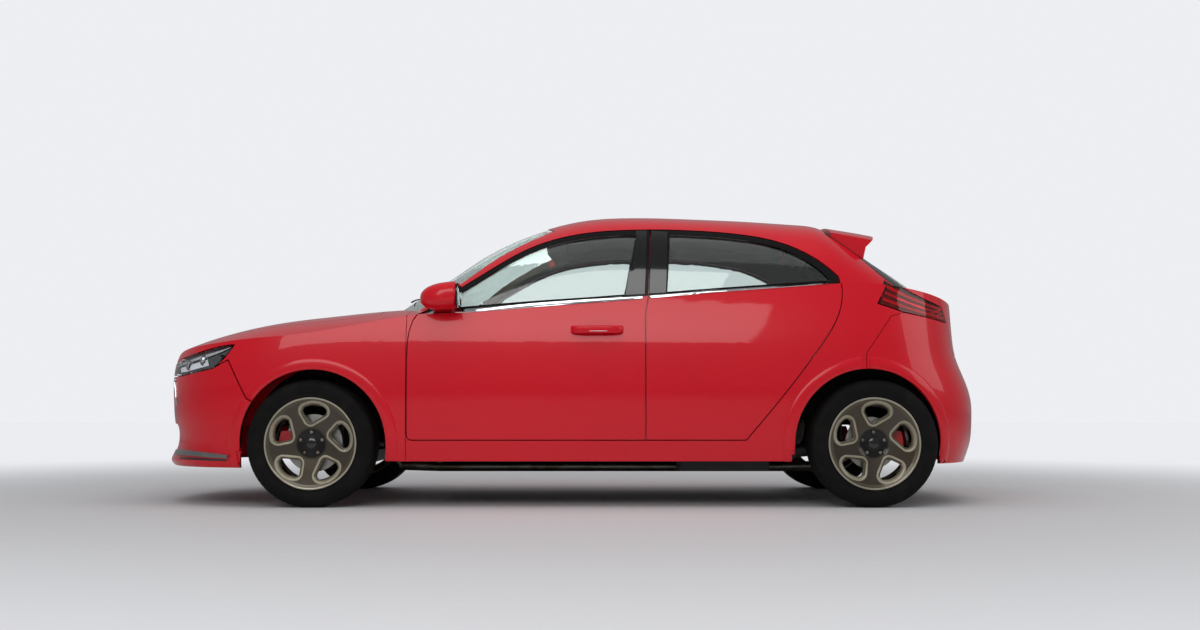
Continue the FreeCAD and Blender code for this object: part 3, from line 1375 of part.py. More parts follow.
def fuel_tank():
    tank = box(560, 1000, -560, -110, 160, FLOOR_Z - SEAT_PLAY)
    saddle = box(560, 1000, 110, 560, 160, FLOOR_Z - SEAT_PLAY)
    bridge = box(700, 900, -111, 111, 190, FLOOR_Z - SEAT_PLAY)
    return joined([tank, saddle, bridge])


# Cabin fittings.
DASH = [(-775, 560), (-775, 905), [(-775, 905), (-650, 935), (-540, 930), (-450, 900),
                                   (-415, 860)],
        (-425, 800), (-470, 770), (-470, 640, 30), (-560, 560)]


def dashboard():
    """The dashboard with the steering column and the centre console on the tunnel."""
    panel = side_prism(side_wire(DASH), -across(725), across(725))
    panel = panel.common(cabins(52)).cut(cabins_base_room())
    console = side_prism(side_wire([(-520, TUNNEL_TOP + 0.3), (-520, 640), (-440, 640),
                                    (-380, 520, 40), (250, 500, 30), (300, TUNNEL_TOP + 0.3)]),
                         -across(105), across(105))
    column = rod(wheel_centre() - wheel_axis() * 60, wheel_centre() - wheel_axis() * 260, 30)
    return joined([panel, console, column])


def cabins_base_room():
    """What the hinge posts and the bulkhead need at the dashboard's ends and front."""
    return box(-800, BULKHEAD_X + 15.3, -1000, 1000, 0, 1600)


def wheel_axis():
    """Up the steering column towards the driver."""
    tilt = math.radians(STEERING_TILT)
    return Vector(math.cos(tilt), 0, math.sin(tilt))


STEERING_TILT = 25.0
STEERING_RADIUS = 182.0
DRIVER_Y = -370.0


def wheel_centre():
    return at(-330, DRIVER_Y, 815)


def steering_wheel():
    """A three-spoke steering wheel with its hub, square to the column."""
    rim_ring = Part.makeTorus(STEERING_RADIUS, 15)
    hub = Part.makeCylinder(58, 34, Vector(0, 0, -30))
    boss = Part.makeCylinder(26, 30, Vector(0, 0, -59.5))
    pieces = [rim_ring, hub, boss]
    for turn in (0, 180, 270):
        spoke = Part.makeBox(STEERING_RADIUS - 40, 34, 9, Vector(40, -17, -14))
        spoke.rotate(Vector(0, 0, 0), UP, turn)
        pieces.append(spoke)
    wheel = joined(pieces)
    wheel.Placement = Placement(wheel_centre(), Rotation(Vector(0, 0, 1), wheel_axis()))
    return wheel


SEAT_X = -150.0
SEAT_Y = 372.0
SEAT_WIDTH = 500.0


def seat_profile(items, width, y):
    half = width / 2
    return side_prism(side_wire(items), across(y) - half, across(y) + half)


def front_seats():
    """The two front seats: cushion, backrest, headrest and the runners on the floor."""
    seats = []
    for side in (-1, 1):
        y = side * SEAT_Y
        x = SEAT_X
        cushion = seat_profile([(x, 330, 30), (x, 455, 50), (x + 420, 425, 20),
                                (x + 520, 330, 30)], SEAT_WIDTH, y)
        back = seat_profile([(x + 400, 400, 30), (x + 512, 850, 45), (x + 612, 870, 40),
                             (x + 600, 600, 60), (x + 540, 330, 40)], SEAT_WIDTH - 20, y)
        head = seat_profile([(x + 535, 890, 30), (x + 548, 1010, 35), (x + 632, 1010, 35),
                             (x + 630, 890, 30)], 250, y)
        posts = [rod(at(x + 565, y + dy, 840), at(x + 578, y + dy, 920), 7)
                 for dy in (-60, 60)]
        runners = [box(x + 40, x + 480, y + dy - 20, y + dy + 20, FLOOR_Z + FLOOR_PLATE, 335)
                   for dy in (-190, 190)]
        seats.append(joined([cushion, back, head] + posts + runners))
    return Part.makeCompound(seats)


def rear_bench():
    """The rear bench: one cushion, one backrest and three headrests."""
    width = 1220
    cushion = seat_profile([(800, FLOOR_Z + FLOOR_PLATE + 0.3), (790, 455, 60),
                            (1200, 430, 30), (KICK_UP_X - 25, FLOOR_Z + FLOOR_PLATE + 0.3)],
                           width, 0)
    cushion = cushion.cut(box(700, 1400, -TUNNEL_Y - 0.3, TUNNEL_Y + 0.3, 0, TUNNEL_TOP + 0.3))
    cushion = cushion.cut(box(KICK_UP_X - 20.3, 1400, -700, 700, 0, BOOT_Z + 0.3))
    back = seat_profile([(1150, BOOT_Z + 0.3), (1238, 900, 40), (1330, 920, 36),
                         (1325, BOOT_Z + 0.3)], width, 0)
    pieces = [cushion, back]
    for y in (-400, 0, 400):
        head = seat_profile([(1245, 935, 30), (1258, 1045, 35), (1335, 1045, 35),
                             (1335, 935, 30)], 240, y)
        pieces.append(head)
        pieces += [rod(at(1282, y + dy, 880), at(1290, y + dy, 960), 7) for dy in (-60, 60)]
    return joined(pieces)


# Mirrors and handles.
def mirror():
    """The left door mirror: a rounded shell on a foot at the window's front corner."""
    side = side_prism(side_wire([(-702, 985, 14), (-560, 1078, 40), (-520, 1066, 8),
                                 (-520, 950, 16), (-640, 952, 30)]),
                      -across(1016), -across(878))
    plan = plan_prism(plan_wire([(-520, -1014, 14), (-520, -868), (-600, -868), (-690, -900, 30),
                                 (-705, -960, 60), (-640, -1014, 60)]), 900, 1120)
    rear = rear_prism(rear_wire([(-1014, 960, 30), (-1010, 1060, 40), (-905, 1080, 40),
                                 (-862, 1010, 20), (-870, 955, 20)]), along(-710), along(-500))
    shell = side.common(plan).common(rear)
    foot = side_prism(side_wire([(-655, 938), (-645, 1000), (-560, 1010), (-550, 938)]),
                      -across(915), -across(740))
    housing = shell.fuse(foot)
    own_door = lower_shell(0).common(box(-800, -400, -1000, -600, 700, 1100))
    return housing.cut(own_door).cut(cabins(-SEAT_PLAY))


def door_handle():
    """The left front door's pull handle, a bow that stands off the skin."""
    y = -across(FLANK(850))
    bow = [Vector(along(30), y + 6, 0), Vector(along(44), y - 30, 0),
           Vector(along(240), y - 34, 0), Vector(along(252), y + 6, 0),
           Vector(along(226), y + 6, 0), Vector(along(218), y - 16, 0),
           Vector(along(62), y - 14, 0), Vector(along(56), y + 6, 0)]
    face = Part.Face(Part.makePolygon(bow + bow[:1]))
    face.translate(Vector(0, 0, up(834)))
    grip = face.extrude(Vector(0, 0, 34))
    return grip.makeFillet(5, [edge for edge in grip.Edges if edge.BoundBox.ZLength < 1
                               and edge.Length > 60])


# The car.
NODES = []


def node(name, shape):
    """One sub-part of the car as an object of the document."""
    feature = DOC.addObject("Part::Feature", name)
    feature.Label = name
    feature.Shape = shape
    NODES.append(feature)
    return feature


def pair(name, shape):
    node(name + "_left", shape)
    node(name + "_right", mirrored(shape))


def build():
    engine_body = engine("engine_body")
    tyre_body = tyre("tyre_body")
    DOC.recompute()
    node("engine", engine_body.Shape)
    pair("body_side", body_side())
    node("roof_panel", roof_panel())
    node("floor_pan", floor_pan())
    node("front_structure", front_structure())
    node("front_wings", Part.makeCompound(both_sides(front_wing())))
    node("front_bumper", front_bumper())
    node("grille", grille())
    node("headlamps", Part.makeCompound(both_sides(headlamp())))
    node("tail_lamps", Part.makeCompound(both_sides(tail_lamp())))
    node("rear_bumper", rear_bumper())
    node("windscreen", windscreen())
    node("bonnet", bonnet())
    node("tailgate", tailgate())
    node("tailgate_glass", tailgate_glass())
    node("rear_spoiler", rear_spoiler())
    front_door = hung_door(FRONT_DOOR, FRONT_WINDOW, FRONT_DOOR_X)
    front_door = front_door.cut(trailing_edge()).cut(pillar_foot_room())
    front_door = front_door.fuse(door_handle())
    pair("front_door", front_door)
    pair("front_door_glass", door_glass(FRONT_WINDOW))
    pair("rear_door", hung_door(REAR_DOOR, REAR_WINDOW, REAR_DOOR_X))
    pair("rear_door_glass", door_glass(REAR_WINDOW))
    pair("mirror", mirror())
    node("dashboard", dashboard())
    node("steering_wheel", steering_wheel())
    node("front_seats", front_seats())
    node("rear_bench", rear_bench())
    node("exhaust", exhaust())
    node("fuel_tank", fuel_tank())
    node("front_subframe", front_subframe())
    node("rear_axle", rear_axle())
    node("rear_calipers", rear_calipers())
    pair("knuckle", knuckle())
    pair("front_caliper", in_place(caliper(True), FRONT_X, -1))
    wheel = rim()
    for place, x in (("front", FRONT_X), ("rear", REAR_X)):
        for side, word in ((-1, "left"), (1, "right")):
            node(f"{place}_rim_{word}", in_place(wheel, x, side))
            node(f"{place}_tyre_{word}", in_place(tyre_body.Shape, x, side))
            node(f"{place}_disc_{word}", in_place(brake_disc(place == "front"), x, side))


def check_and_write():
    """Refuse a failed object or an invalid solid, then write one STEP file a node."""
    for item in DOC.Objects:
        if "Invalid" in item.State or "Error" in item.State:
            raise RuntimeError(f"{item.Name} failed: {item.State}")
    os.makedirs(OUT, exist_ok=True)
    for feature in NODES:
        shape = feature.Shape
        if shape.isNull() or not shape.isValid() or not shape.Solids:
            raise RuntimeError(f"{feature.Label} is not a valid solid")
        shape.exportStep(os.path.join(OUT, feature.Label + ".step"))


if __name__ == "__main__":
    build()
    check_and_write()
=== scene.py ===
"""The compact hatchback, dressed over its CAD pieces: lacquer, glass, tyres, lamps and cabin."""

import logging
import math
from dataclasses import dataclass, field
from enum import Enum
from typing import Any, Sequence

import bmesh
import bpy
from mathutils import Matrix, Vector
from mathutils.bvhtree import BVHTree


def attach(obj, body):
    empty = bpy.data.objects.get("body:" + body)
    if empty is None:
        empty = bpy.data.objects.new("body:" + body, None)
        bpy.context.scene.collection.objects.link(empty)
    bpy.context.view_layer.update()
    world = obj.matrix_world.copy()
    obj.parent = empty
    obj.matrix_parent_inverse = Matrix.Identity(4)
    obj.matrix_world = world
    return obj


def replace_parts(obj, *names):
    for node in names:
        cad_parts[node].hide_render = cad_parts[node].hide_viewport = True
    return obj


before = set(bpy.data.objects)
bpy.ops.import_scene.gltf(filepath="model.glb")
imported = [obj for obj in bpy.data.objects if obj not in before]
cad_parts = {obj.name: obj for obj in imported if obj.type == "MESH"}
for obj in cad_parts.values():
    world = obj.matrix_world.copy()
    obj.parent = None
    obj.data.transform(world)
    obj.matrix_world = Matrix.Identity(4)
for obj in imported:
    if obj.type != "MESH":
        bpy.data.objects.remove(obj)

LOG = logging.getLogger("hatchback")
Point = tuple[float, float, float]
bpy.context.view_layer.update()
# The wheels' axles, and the middles of the arches in the panels, in metres.
FRONT_AXLE_X, REAR_AXLE_X, AXLE_Z = -1.231, 1.469, 0.306
ARCHES_X = (-1.225, 1.446)


class Side(Enum):
    """The car's two sides, as the sign of Y."""

    LEFT = -1
    RIGHT = 1

    @property
    def word(self) -> str:
        """The side's name in the node names."""
        return self.name.lower()


# Colour and node helpers.
def linear(code: str) -> tuple[float, float, float, float]:
    """Turns an sRGB hex colour to linear.

    Args:
        code: Six hex digits after a hash.

    Returns:
        Red, green, blue and a full alpha.
    """
    parts = [int(code[place:place + 2], 16) / 255 for place in (1, 3, 5)]
    red, green, blue = (part / 12.92 if part <= 0.04045 else ((part + 0.055) / 1.055) ** 2.4
                        for part in parts)
    return red, green, blue, 1.0


def add_node(tree: bpy.types.NodeTree, kind: str, inputs: dict[Any, Any] | None = None,
             **settings: Any) -> bpy.types.Node:
    """Adds a node with its settings, values and links.

    Args:
        tree: The node tree.
        kind: The node's class name.
        inputs: Values or sockets by input name or number.
        **settings: Attributes of the node.

    Returns:
        The new node.
    """
    node = tree.nodes.new(kind)
    for name, value in settings.items():
        setattr(node, name, value)
    for key, value in (inputs or {}).items():
        socket = node.inputs[key]
        if isinstance(value, bpy.types.NodeSocket):
            tree.links.new(value, socket)
        else:
            socket.default_value = value
    return node


def math_node(tree: bpy.types.NodeTree, operation: str, *values: Any) -> bpy.types.NodeSocket:
    """Joins values or sockets with one arithmetic step.

    Args:
        tree: The node tree.
        operation: The name of the step, such as MULTIPLY.
        *values: Numbers or sockets.

    Returns:
        The result's socket.
    """
    return add_node(tree, "ShaderNodeMath", dict(enumerate(values)), operation=operation).outputs[0]


class Surface:
    """A material under construction: its tree, its shader and the object coordinates."""

    def __init__(self, name: str) -> None:
        """Starts an empty material with one Principled shader.

        Args:
            name: The material's name.
        """
        self.material = bpy.data.materials.new(name)
        self.material.use_nodes = True
        self.tree = self.material.node_tree
        self.tree.nodes.clear()
        self.shader = self.add("ShaderNodeBsdfPrincipled")
        self.output = self.add("ShaderNodeOutputMaterial", {"Surface": self.shader.outputs[0]})
        self.place = self.add("ShaderNodeTexCoord").outputs

    def add(self, kind: str, inputs: dict[Any, Any] | None = None, **settings: Any) -> Any:
        """Adds a node to this material."""
        return add_node(self.tree, kind, inputs, **settings)

    def math(self, operation: str, *values: Any) -> bpy.types.NodeSocket:
        """Adds one arithmetic step."""
        return math_node(self.tree, operation, *values)

    def set(self, **values: Any) -> None:
        """Sets or links the shader's inputs.

        Args:
            **values: A number, colour or socket by the input's name, with _ for each space.
        """
        for name, value in values.items():
            socket = self.shader.inputs[name.replace("_", " ")]
            if isinstance(value, bpy.types.NodeSocket):
                self.tree.links.new(value, socket)
            else:
                socket.default_value = value

    def noise(self, millimetres: float, detail: float = 2.0, roughness: float = 0.5) -> Any:
        """A noise whose grain is about that many millimetres wide, read from object coordinates.

        Args:
            millimetres: The width of one grain.
            detail: The number of finer octaves.
            roughness: The strength of the finer octaves.

        Returns:
            The noise node.
        """
        return self.add("ShaderNodeTexNoise", {"Vector": self.place["Object"],
                                               "Scale": 500.0 / millimetres, "Detail": detail,
                                               "Roughness": roughness})

    def between(self, factor: Any, first: Any, second: Any) -> bpy.types.NodeSocket:
        """Blends two colours by a factor.

        Args:
            factor: 0 for the first colour, 1 for the second.
            first: A colour or its socket.
            second: A colour or its socket.

        Returns:
            The blend's socket.
        """
        mix = self.add("ShaderNodeMix", {"Factor": factor}, data_type="RGBA")
        for place, value in ((6, first), (7, second)):
            if isinstance(value, bpy.types.NodeSocket):
                self.tree.links.new(value, mix.inputs[place])
            else:
                mix.inputs[place].default_value = value
        return mix.outputs[2]

    def blend_number(self, factor: Any, first: Any, second: Any) -> bpy.types.NodeSocket:
        """Blends two numbers by a factor."""
        return self.add("ShaderNodeMapRange", {"Value": factor, "To Min": first,
                                               "To Max": second}).outputs[0]

    def ramp(self, value: Any, low: float, high: float) -> bpy.types.NodeSocket:
        """Rises smoothly from 0 to 1.

        Args:
            value: What is read.
            low: Where the rise starts.
            high: Where it ends.

        Returns:
            The result's socket.
        """
        return self.add("ShaderNodeMapRange", {"Value": value, "From Min": low,
                                               "From Max": high},
                        interpolation_type="SMOOTHSTEP").outputs[0]

    def bump(self, height: Any, depth: float) -> bpy.types.NodeSocket:
        """Raises the surface by a height that is read in the given depth, in metres."""
        return self.add("ShaderNodeBump", {"Height": height, "Distance": depth,
                                           "Strength": 1.0}).outputs[0]

    def axes(self, what: str = "Object") -> Any:
        """The X, Y and Z of an object coordinate or of the object's own normal."""
        return self.add("ShaderNodeSeparateXYZ", {0: self.place[what]}).outputs

    def radius(self, *axles_x: float) -> bpy.types.NodeSocket:
        """The distance from the nearest of some axles that run along Y.

        Args:
            *axles_x: Each axle's X in metres; all lie at the wheels' height.

        Returns:
            The distance's socket.
        """
        place = self.axes()
        above = self.math("SUBTRACT", place["Z"], AXLE_Z)
        nearest = None
        for axle_x in axles_x:
            ahead = self.math("SUBTRACT", place["X"], axle_x)
            squares = self.math("MULTIPLY_ADD", ahead, ahead,
                                self.math("MULTIPLY", above, above))
            nearest = squares if nearest is None else self.math("MINIMUM", nearest, squares)
        return self.math("SQRT", nearest)


def wear(surface: Surface, base: str, shade: str, millimetres: float) -> bpy.types.NodeSocket:
    """A colour that drifts a little over the piece, as handled and dusty surfaces do.

    Args:
        surface: The material.
        base: The main colour.
        shade: The colour that it drifts to.
        millimetres: The width of the patches.

    Returns:
        The colour's socket.
    """
    patches = surface.noise(millimetres, 4.0, 0.6).outputs[0]
    return surface.between(surface.ramp(patches, 0.42, 0.68), linear(base), linear(shade))


# Finishes of the shell.
class Inside(Enum):
    """Which way a panel's inner face looks, so that its trim side is told from its lacquer."""

    LEFT_PANEL = ("Y", 1.0)
    RIGHT_PANEL = ("Y", -1.0)
    ROOF = ("Z", -1.0)
    NONE = ("Z", 0.0)


@dataclass(frozen=True)
class Lacquer:
    """Solid red two-layer car lacquer: sprayed base under a deep clear coat.

    The clear coat gives hard bright reflections with a trace of orange peel; the base is even.
    """

    name: str = "red_car_lacquer"
    base: str = "#DC001D"
    deep: str = "#CE001B"
    peel_mm: float = 5.0
    trim: str = "#4B3D2D"
    inside: Inside = Inside.NONE
    window_line: bool = False
    glazed_from: float | None = None
    liner_radius: float = 0.357

    def build(self) -> bpy.types.Material:
        """Makes the lacquer, with the panel's trim side where it has one.

        Returns:
            The material.
        """
        surface = Surface(f"{self.name}_{self.inside.name.lower()}{'_frame' * self.window_line}"
                          f"{'_glazed' * (self.glazed_from is not None)}")
        drift = surface.noise(420.0, 2.0).outputs[0]
        colour = surface.between(drift, linear(self.base), linear(self.deep))
        peel = surface.noise(self.peel_mm, 1.0).outputs[0]
        surface.set(Coat_Roughness=0.03, Coat_IOR=1.42, Specular_IOR_Level=0.22)
        coat = surface.bump(peel, 0.00004)
        surface.tree.links.new(coat, surface.shader.inputs["Coat Normal"])
        mask = self._liner(surface)
        colour = surface.between(mask, colour, linear("#0B0B0C"))
        place = surface.axes()
        if self.inside is not Inside.NONE:
            axis, sign = self.inside.value
            facing = surface.math("MULTIPLY", surface.axes("Normal")[axis], sign)
            if self.inside is Inside.ROOF:
                inner = surface.ramp(facing, 0.0, 0.1)
            else:
                inner = surface.math("MULTIPLY", surface.ramp(facing, 0.12, 0.16),
                                     surface.ramp(place["Z"], 0.33, 0.34))
            colour = surface.between(inner, colour, linear(self.trim))
            mask = surface.math("MAXIMUM", mask, inner)
        if self.window_line:
            # The belt line rises by 70 mm in each metre; above it the door's frame is black.
            rise = surface.math("MULTIPLY_ADD", place["X"], 0.0701, 0.9896)
            over = surface.ramp(surface.math("SUBTRACT", place["Z"], rise), 0.0, 0.001)
            colour = surface.between(over, colour, linear("#050506"))
            mask = surface.math("MAXIMUM", mask, surface.math("MULTIPLY", over, 0.75))
        if self.glazed_from is not None:
            glazed = surface.ramp(place["Z"], self.glazed_from, self.glazed_from + 0.001)
            colour = surface.between(glazed, colour, linear("#0A0A0E"))
        surface.set(Base_Color=colour, Coat_Weight=surface.blend_number(mask, 0.75, 0.0),
                    Roughness=surface.blend_number(mask, 0.32, 0.7))
        return surface.material

    def _liner(self, surface: Surface) -> bpy.types.NodeSocket:
        """Finds the wheel housings, which wear black liners: 1 within them, 0 elsewhere.

        Args:
            surface: The material.

        Returns:
            The mask's socket.
        """
        place = surface.axes()
        radius = surface.radius(*ARCHES_X)
        inboard = surface.ramp(surface.math("ABSOLUTE", place["Y"]), 0.872, 0.868)
        inner = surface.ramp(radius, self.liner_radius + 0.022, self.liner_radius + 0.021)
        rim = surface.ramp(radius, self.liner_radius + 0.0005, self.liner_radius - 0.0005)
        deep = surface.ramp(surface.math("ABSOLUTE", place["Y"]), 0.80, 0.79)
        return surface.math("MULTIPLY", inboard, surface.math(
            "MAXIMUM", rim, surface.math("MULTIPLY", inner, deep)))


@dataclass(frozen=True)
class Moulded:
    """Moulded plastic, grained as tool-textured parts are: a fine leather-like pebble."""

    name: str
    base: str
    shade: str
    roughness: float = 0.55
    grain_mm: float = 1.4
    depth_mm: float = 0.12

    def build(self) -> bpy.types.Material:
        """Makes the plastic.

        Returns:
            The material.
        """
        surface = Surface(self.name)
        grain = surface.noise(self.grain_mm, 3.0, 0.6).outputs[0]
        surface.set(Base_Color=wear(surface, self.base, self.shade, 160.0),
                    Roughness=self.roughness, Normal=surface.bump(grain, self.depth_mm / 1000))
        return surface.material


@dataclass(frozen=True)
class Gloss:
    """Piano-gloss or lacquered moulding: smooth, with a hard highlight."""

    name: str
    base: str
    shade: str
    roughness: float = 0.12

    def build(self) -> bpy.types.Material:
        """Makes the gloss plastic.

        Returns:
            The material.
        """
        surface = Surface(self.name)
        surface.set(Base_Color=wear(surface, self.base, self.shade, 120.0),
                    Roughness=self.roughness, Coat_Weight=0.6, Coat_Roughness=0.05,
                    Normal=surface.bump(surface.noise(9.0, 1.0).outputs[0], 0.00002))
        return surface.material


@dataclass(frozen=True)
class Metal:
    """Bare or cast metal: brushed, turned, cast or plated, by its roughness and grain."""

    name: str
    base: str
    shade: str
    roughness: float
    grain_mm: float = 2.0
    depth_mm: float = 0.05
    metallic: float = 1.0

    def build(self) -> bpy.types.Material:
        """Makes the metal.

        Returns:
            The material.
        """
        surface = Surface(self.name)
        grain = surface.noise(self.grain_mm, 3.0, 0.6).outputs[0]
        rough = surface.blend_number(grain, self.roughness * 0.8, self.roughness * 1.25)
        surface.set(Base_Color=wear(surface, self.base, self.shade, 60.0), Metallic=self.metallic,
                    Roughness=rough, Normal=surface.bump(grain, self.depth_mm / 1000))
        return surface.material


@dataclass(frozen=True)
class Pane:
    """Clear or coloured glass and lens plastic, which lets light fall into what it covers."""

    name: str
    tint: str
    roughness: float = 0.0
    ior: float = 1.45

    def build(self) -> bpy.types.Material:
        """Makes the glass. Shadow rays pass straight through, so that the cabin is lit.

        Returns:
            The material.
        """
        surface = Surface(self.name)
        surface.set(Base_Color=linear(self.tint), Transmission_Weight=1.0,
                    Roughness=self.roughness, IOR=self.ior)
        clear = surface.add("ShaderNodeBsdfTransparent", {"Color": linear(self.tint)})
        path = surface.add("ShaderNodeLightPath")
        mix = surface.add("ShaderNodeMixShader", {0: path.outputs["Is Shadow Ray"],
                                                  1: surface.shader.outputs[0],
                                                  2: clear.outputs[0]})
        surface.tree.links.new(mix.outputs[0], surface.output.inputs["Surface"])
        return surface.material


@dataclass(frozen=True)
class CastWheel:
    """A painted alloy casting: graphite face, and machined bevels round its windows."""

    name: str = "cast_wheel_lacquer"
    face: str = "#4A4238"
    worn: str = "#463C2E"
    bevel: str = "#57503F"
    well: str = "#4C4B45"
    hub: str = "#100F0E"

    def build(self) -> bpy.types.Material:
        """Makes the wheel's finish, told apart by the tilt of the face and round the dark hub.

        Returns:
            The material.
        """
        surface = Surface(self.name)
        tilt = surface.math("ABSOLUTE", surface.axes("Normal")["Y"])
        flat = surface.ramp(tilt, 0.93, 0.97)
        sloped = surface.math("MULTIPLY", surface.ramp(tilt, 0.2, 0.3),
                              surface.math("SUBTRACT", 1.0, flat))
        face = wear(surface, self.face, self.worn, 90.0)
        colour = surface.between(flat, linear(self.well), face)
        colour = surface.between(sloped, colour, linear(self.bevel))
        radius = surface.radius(FRONT_AXLE_X, REAR_AXLE_X)
        colour = surface.between(surface.ramp(radius, 0.062, 0.084), linear(self.hub), colour)
        grain = surface.noise(1.2, 2.0).outputs[0]
        surface.set(Base_Color=colour, Metallic=0.75,
                    Roughness=surface.blend_number(sloped, 0.3, 0.42), Coat_Weight=0.5,
                    Coat_Roughness=0.08, Normal=surface.bump(grain, 0.00002))
        return surface.material


@dataclass(frozen=True)
class TurnedDisc:
    """A cast iron brake disc, turned: fine rings about the axle, darker in its hat."""

    name: str
    axle_x: float
    ring_mm: float = 1.6

    def build(self) -> bpy.types.Material:
        """Makes the disc's finish.

        Returns:
            The material.
        """
        surface = Surface(self.name)
        radius = surface.radius(self.axle_x)
        rings = surface.math("SINE", surface.math("MULTIPLY", radius,
                                                  2000 * math.pi / self.ring_mm))
        swept = surface.ramp(radius, 0.07, 0.078)
        rough = surface.noise(30.0, 3.0).outputs[0]
        colour = surface.between(swept, linear("#4A4540"),
                                 surface.between(rough, linear("#B9B7B2"), linear("#8F8D88")))
        surface.set(Base_Color=colour, Metallic=0.9, Normal=surface.bump(rings, 0.00003),
                    Roughness=surface.blend_number(swept, 0.6, 0.3))
        return surface.material


@dataclass(frozen=True)
class Rubber:
    """Vulcanised tyre or seal rubber: near black, dull, with a dusty bloom."""

    name: str = "tyre_rubber"
    base: str = "#0B0B0B"
    bloom: str = "#151311"

    def build(self) -> bpy.types.Material:
        """Makes the rubber.

        Returns:
            The material.
        """
        surface = Surface(self.name)
        grain = surface.noise(1.1, 3.0, 0.6).outputs[0]
        surface.set(Base_Color=wear(surface, self.base, self.bloom, 45.0), Roughness=0.72,
                    Normal=surface.bump(grain, 0.00008), Specular_IOR_Level=0.16)
        return surface.material


@dataclass(frozen=True)
class Woven:
    """Woven seat cloth: crossing threads drawn 3 mm apart, coarse enough to show."""

    name: str
    base: str
    thread: str
    pitch_mm: float = 3.0

    def build(self) -> bpy.types.Material:
        """Makes the cloth from two crossing waves on object coordinates.

        Returns:
            The material.
        """
        surface = Surface(self.name)
        place = surface.axes()
        turns = 2000 * math.pi / self.pitch_mm
        warp = surface.math("SINE", surface.math("MULTIPLY", place["Y"], turns))
        slope = surface.math("ADD", place["X"], place["Z"])
        weft = surface.math("SINE", surface.math("MULTIPLY", slope, turns))
        weave = surface.math("MULTIPLY", warp, weft)
        mottle = surface.noise(70.0, 4.0).outputs[0]
        threads = surface.between(surface.ramp(weave, -0.4, 0.6), linear(self.base),
                                  linear(self.thread))
        colour = surface.between(surface.math("MULTIPLY", mottle, 0.35), threads,
                                 linear(self.base))
        surface.set(Base_Color=colour, Roughness=0.9, Sheen_Weight=0.3,
                    Normal=surface.bump(weave, 0.0004))
        return surface.material


class Finishes:
    """Every material of the car, built on first use and kept by name."""

    RECIPES: dict[str, Any] = {
        "lacquer": Lacquer(),
        "lacquer_left": Lacquer(inside=Inside.LEFT_PANEL),
        "lacquer_right": Lacquer(inside=Inside.RIGHT_PANEL),
        "lacquer_roof": Lacquer(inside=Inside.ROOF, trim="#8C7F6C"),
        "door_left": Lacquer(inside=Inside.LEFT_PANEL, window_line=True),
        "door_right": Lacquer(inside=Inside.RIGHT_PANEL, window_line=True),
        "window_glass": Pane("clear_window_glass", "#E6EFEC"),
        "screen_glass": Pane("laminated_screen_glass", "#DDEBE6"),
        "lamp_lens": Pane("polycarbonate_lamp_lens", "#F4F7F8", 0.02, 1.49),
        "tail_lens": Pane("red_acrylic_tail_lens", "#C40A18", 0.04, 1.49),
        "tail_back": Gloss("red_lamp_back_plate", "#8E0610", "#6E040C", 0.3),
        "tail_bar": Gloss("red_lamp_light_bar", "#E8323C", "#D8242E", 0.2),
        "wheel": CastWheel(),
        "wheel_bevel": Metal("machined_wheel_bevel", "#A39C88", "#8D8672", 0.42, 1.4, 0.02, 0.55),
        "wheel_edge": Metal("machined_wheel_edge", "#B4AD9C", "#A0998A", 0.3, 1.4, 0.01, 0.8),
        "tailgate": Lacquer(glazed_from=1.052),
        "flare": Lacquer("red_flare_lacquer", liner_radius=0.2),
        "tyre": Rubber(),
        "seal": Rubber("door_seal_rubber", "#0A0A0A", "#121212"),
        "disc_front": TurnedDisc("turned_iron_disc_front", FRONT_AXLE_X),
        "disc_rear": TurnedDisc("turned_iron_disc_rear", REAR_AXLE_X),
        "caliper": Gloss("red_caliper_enamel", "#B80A12", "#7E0A0E", 0.3),
        "chassis": Metal("black_stoving_enamel", "#151516", "#24211F", 0.5, 3.0, 0.08, 0.1),
        "engine": Metal("cast_aluminium_engine", "#8D8D8B", "#6B6A66", 0.5, 3.0, 0.25),
        "exhaust": Metal("stainless_exhaust_steel", "#8C8880", "#6A5D4C", 0.38, 2.0, 0.05),
        "tank": Moulded("blow_moulded_tank", "#1A1A1B", "#26241F", 0.5, 3.0, 0.2),
        "black_gloss": Gloss("gloss_black_moulding", "#070708", "#0D0D0E"),
        "black_grained": Moulded("grained_black_plastic", "#141415", "#1C1B1A"),
        "blade_grey": Gloss("satin_grey_moulding", "#6E6C6C", "#5C5A5A", 0.3),
        "cabin_dark": Moulded("slush_moulded_cabin_skin", "#25221F", "#2E2A26", 0.6, 1.6, 0.15),
        "cabin_soft": Moulded("soft_touch_cabin_plastic", "#3A342D", "#443D35", 0.7, 1.2, 0.1),
        "carpet": Moulded("tufted_carpet", "#1C1B1A", "#262422", 0.98, 3.0, 0.8),
        "seat_cloth": Woven("woven_seat_cloth", "#3A3631", "#565048"),
        "chrome": Metal("chrome_plate", "#E4E6E8", "#D5D8DB", 0.07, 6.0, 0.004),
        "satin_chrome": Metal("satin_chrome_plate", "#B9BBBD", "#A8AAAD", 0.28, 2.0, 0.02),
        "reflector": Metal("vapour_coated_reflector", "#D5D8DC", "#BFC3C8", 0.12, 12.0, 0.02),
        "mirror": Metal("silvered_mirror_glass", "#E8ECEE", "#E0E5E8", 0.02, 60.0, 0.0),
        "leather": Moulded("wheel_rim_leather", "#1A1917", "#24221F", 0.5, 1.8, 0.25),
    }
    _made: dict[str, bpy.types.Material] = {}

    @classmethod
    def get(cls, name: str) -> bpy.types.Material:
        """The material of that name.

        Args:
            name: One of the names in RECIPES.

        Returns:
            The material, built if this is its first use.
        """
        if name not in cls._made:
            cls._made[name] = cls.RECIPES[name].build()
        return cls._made[name]


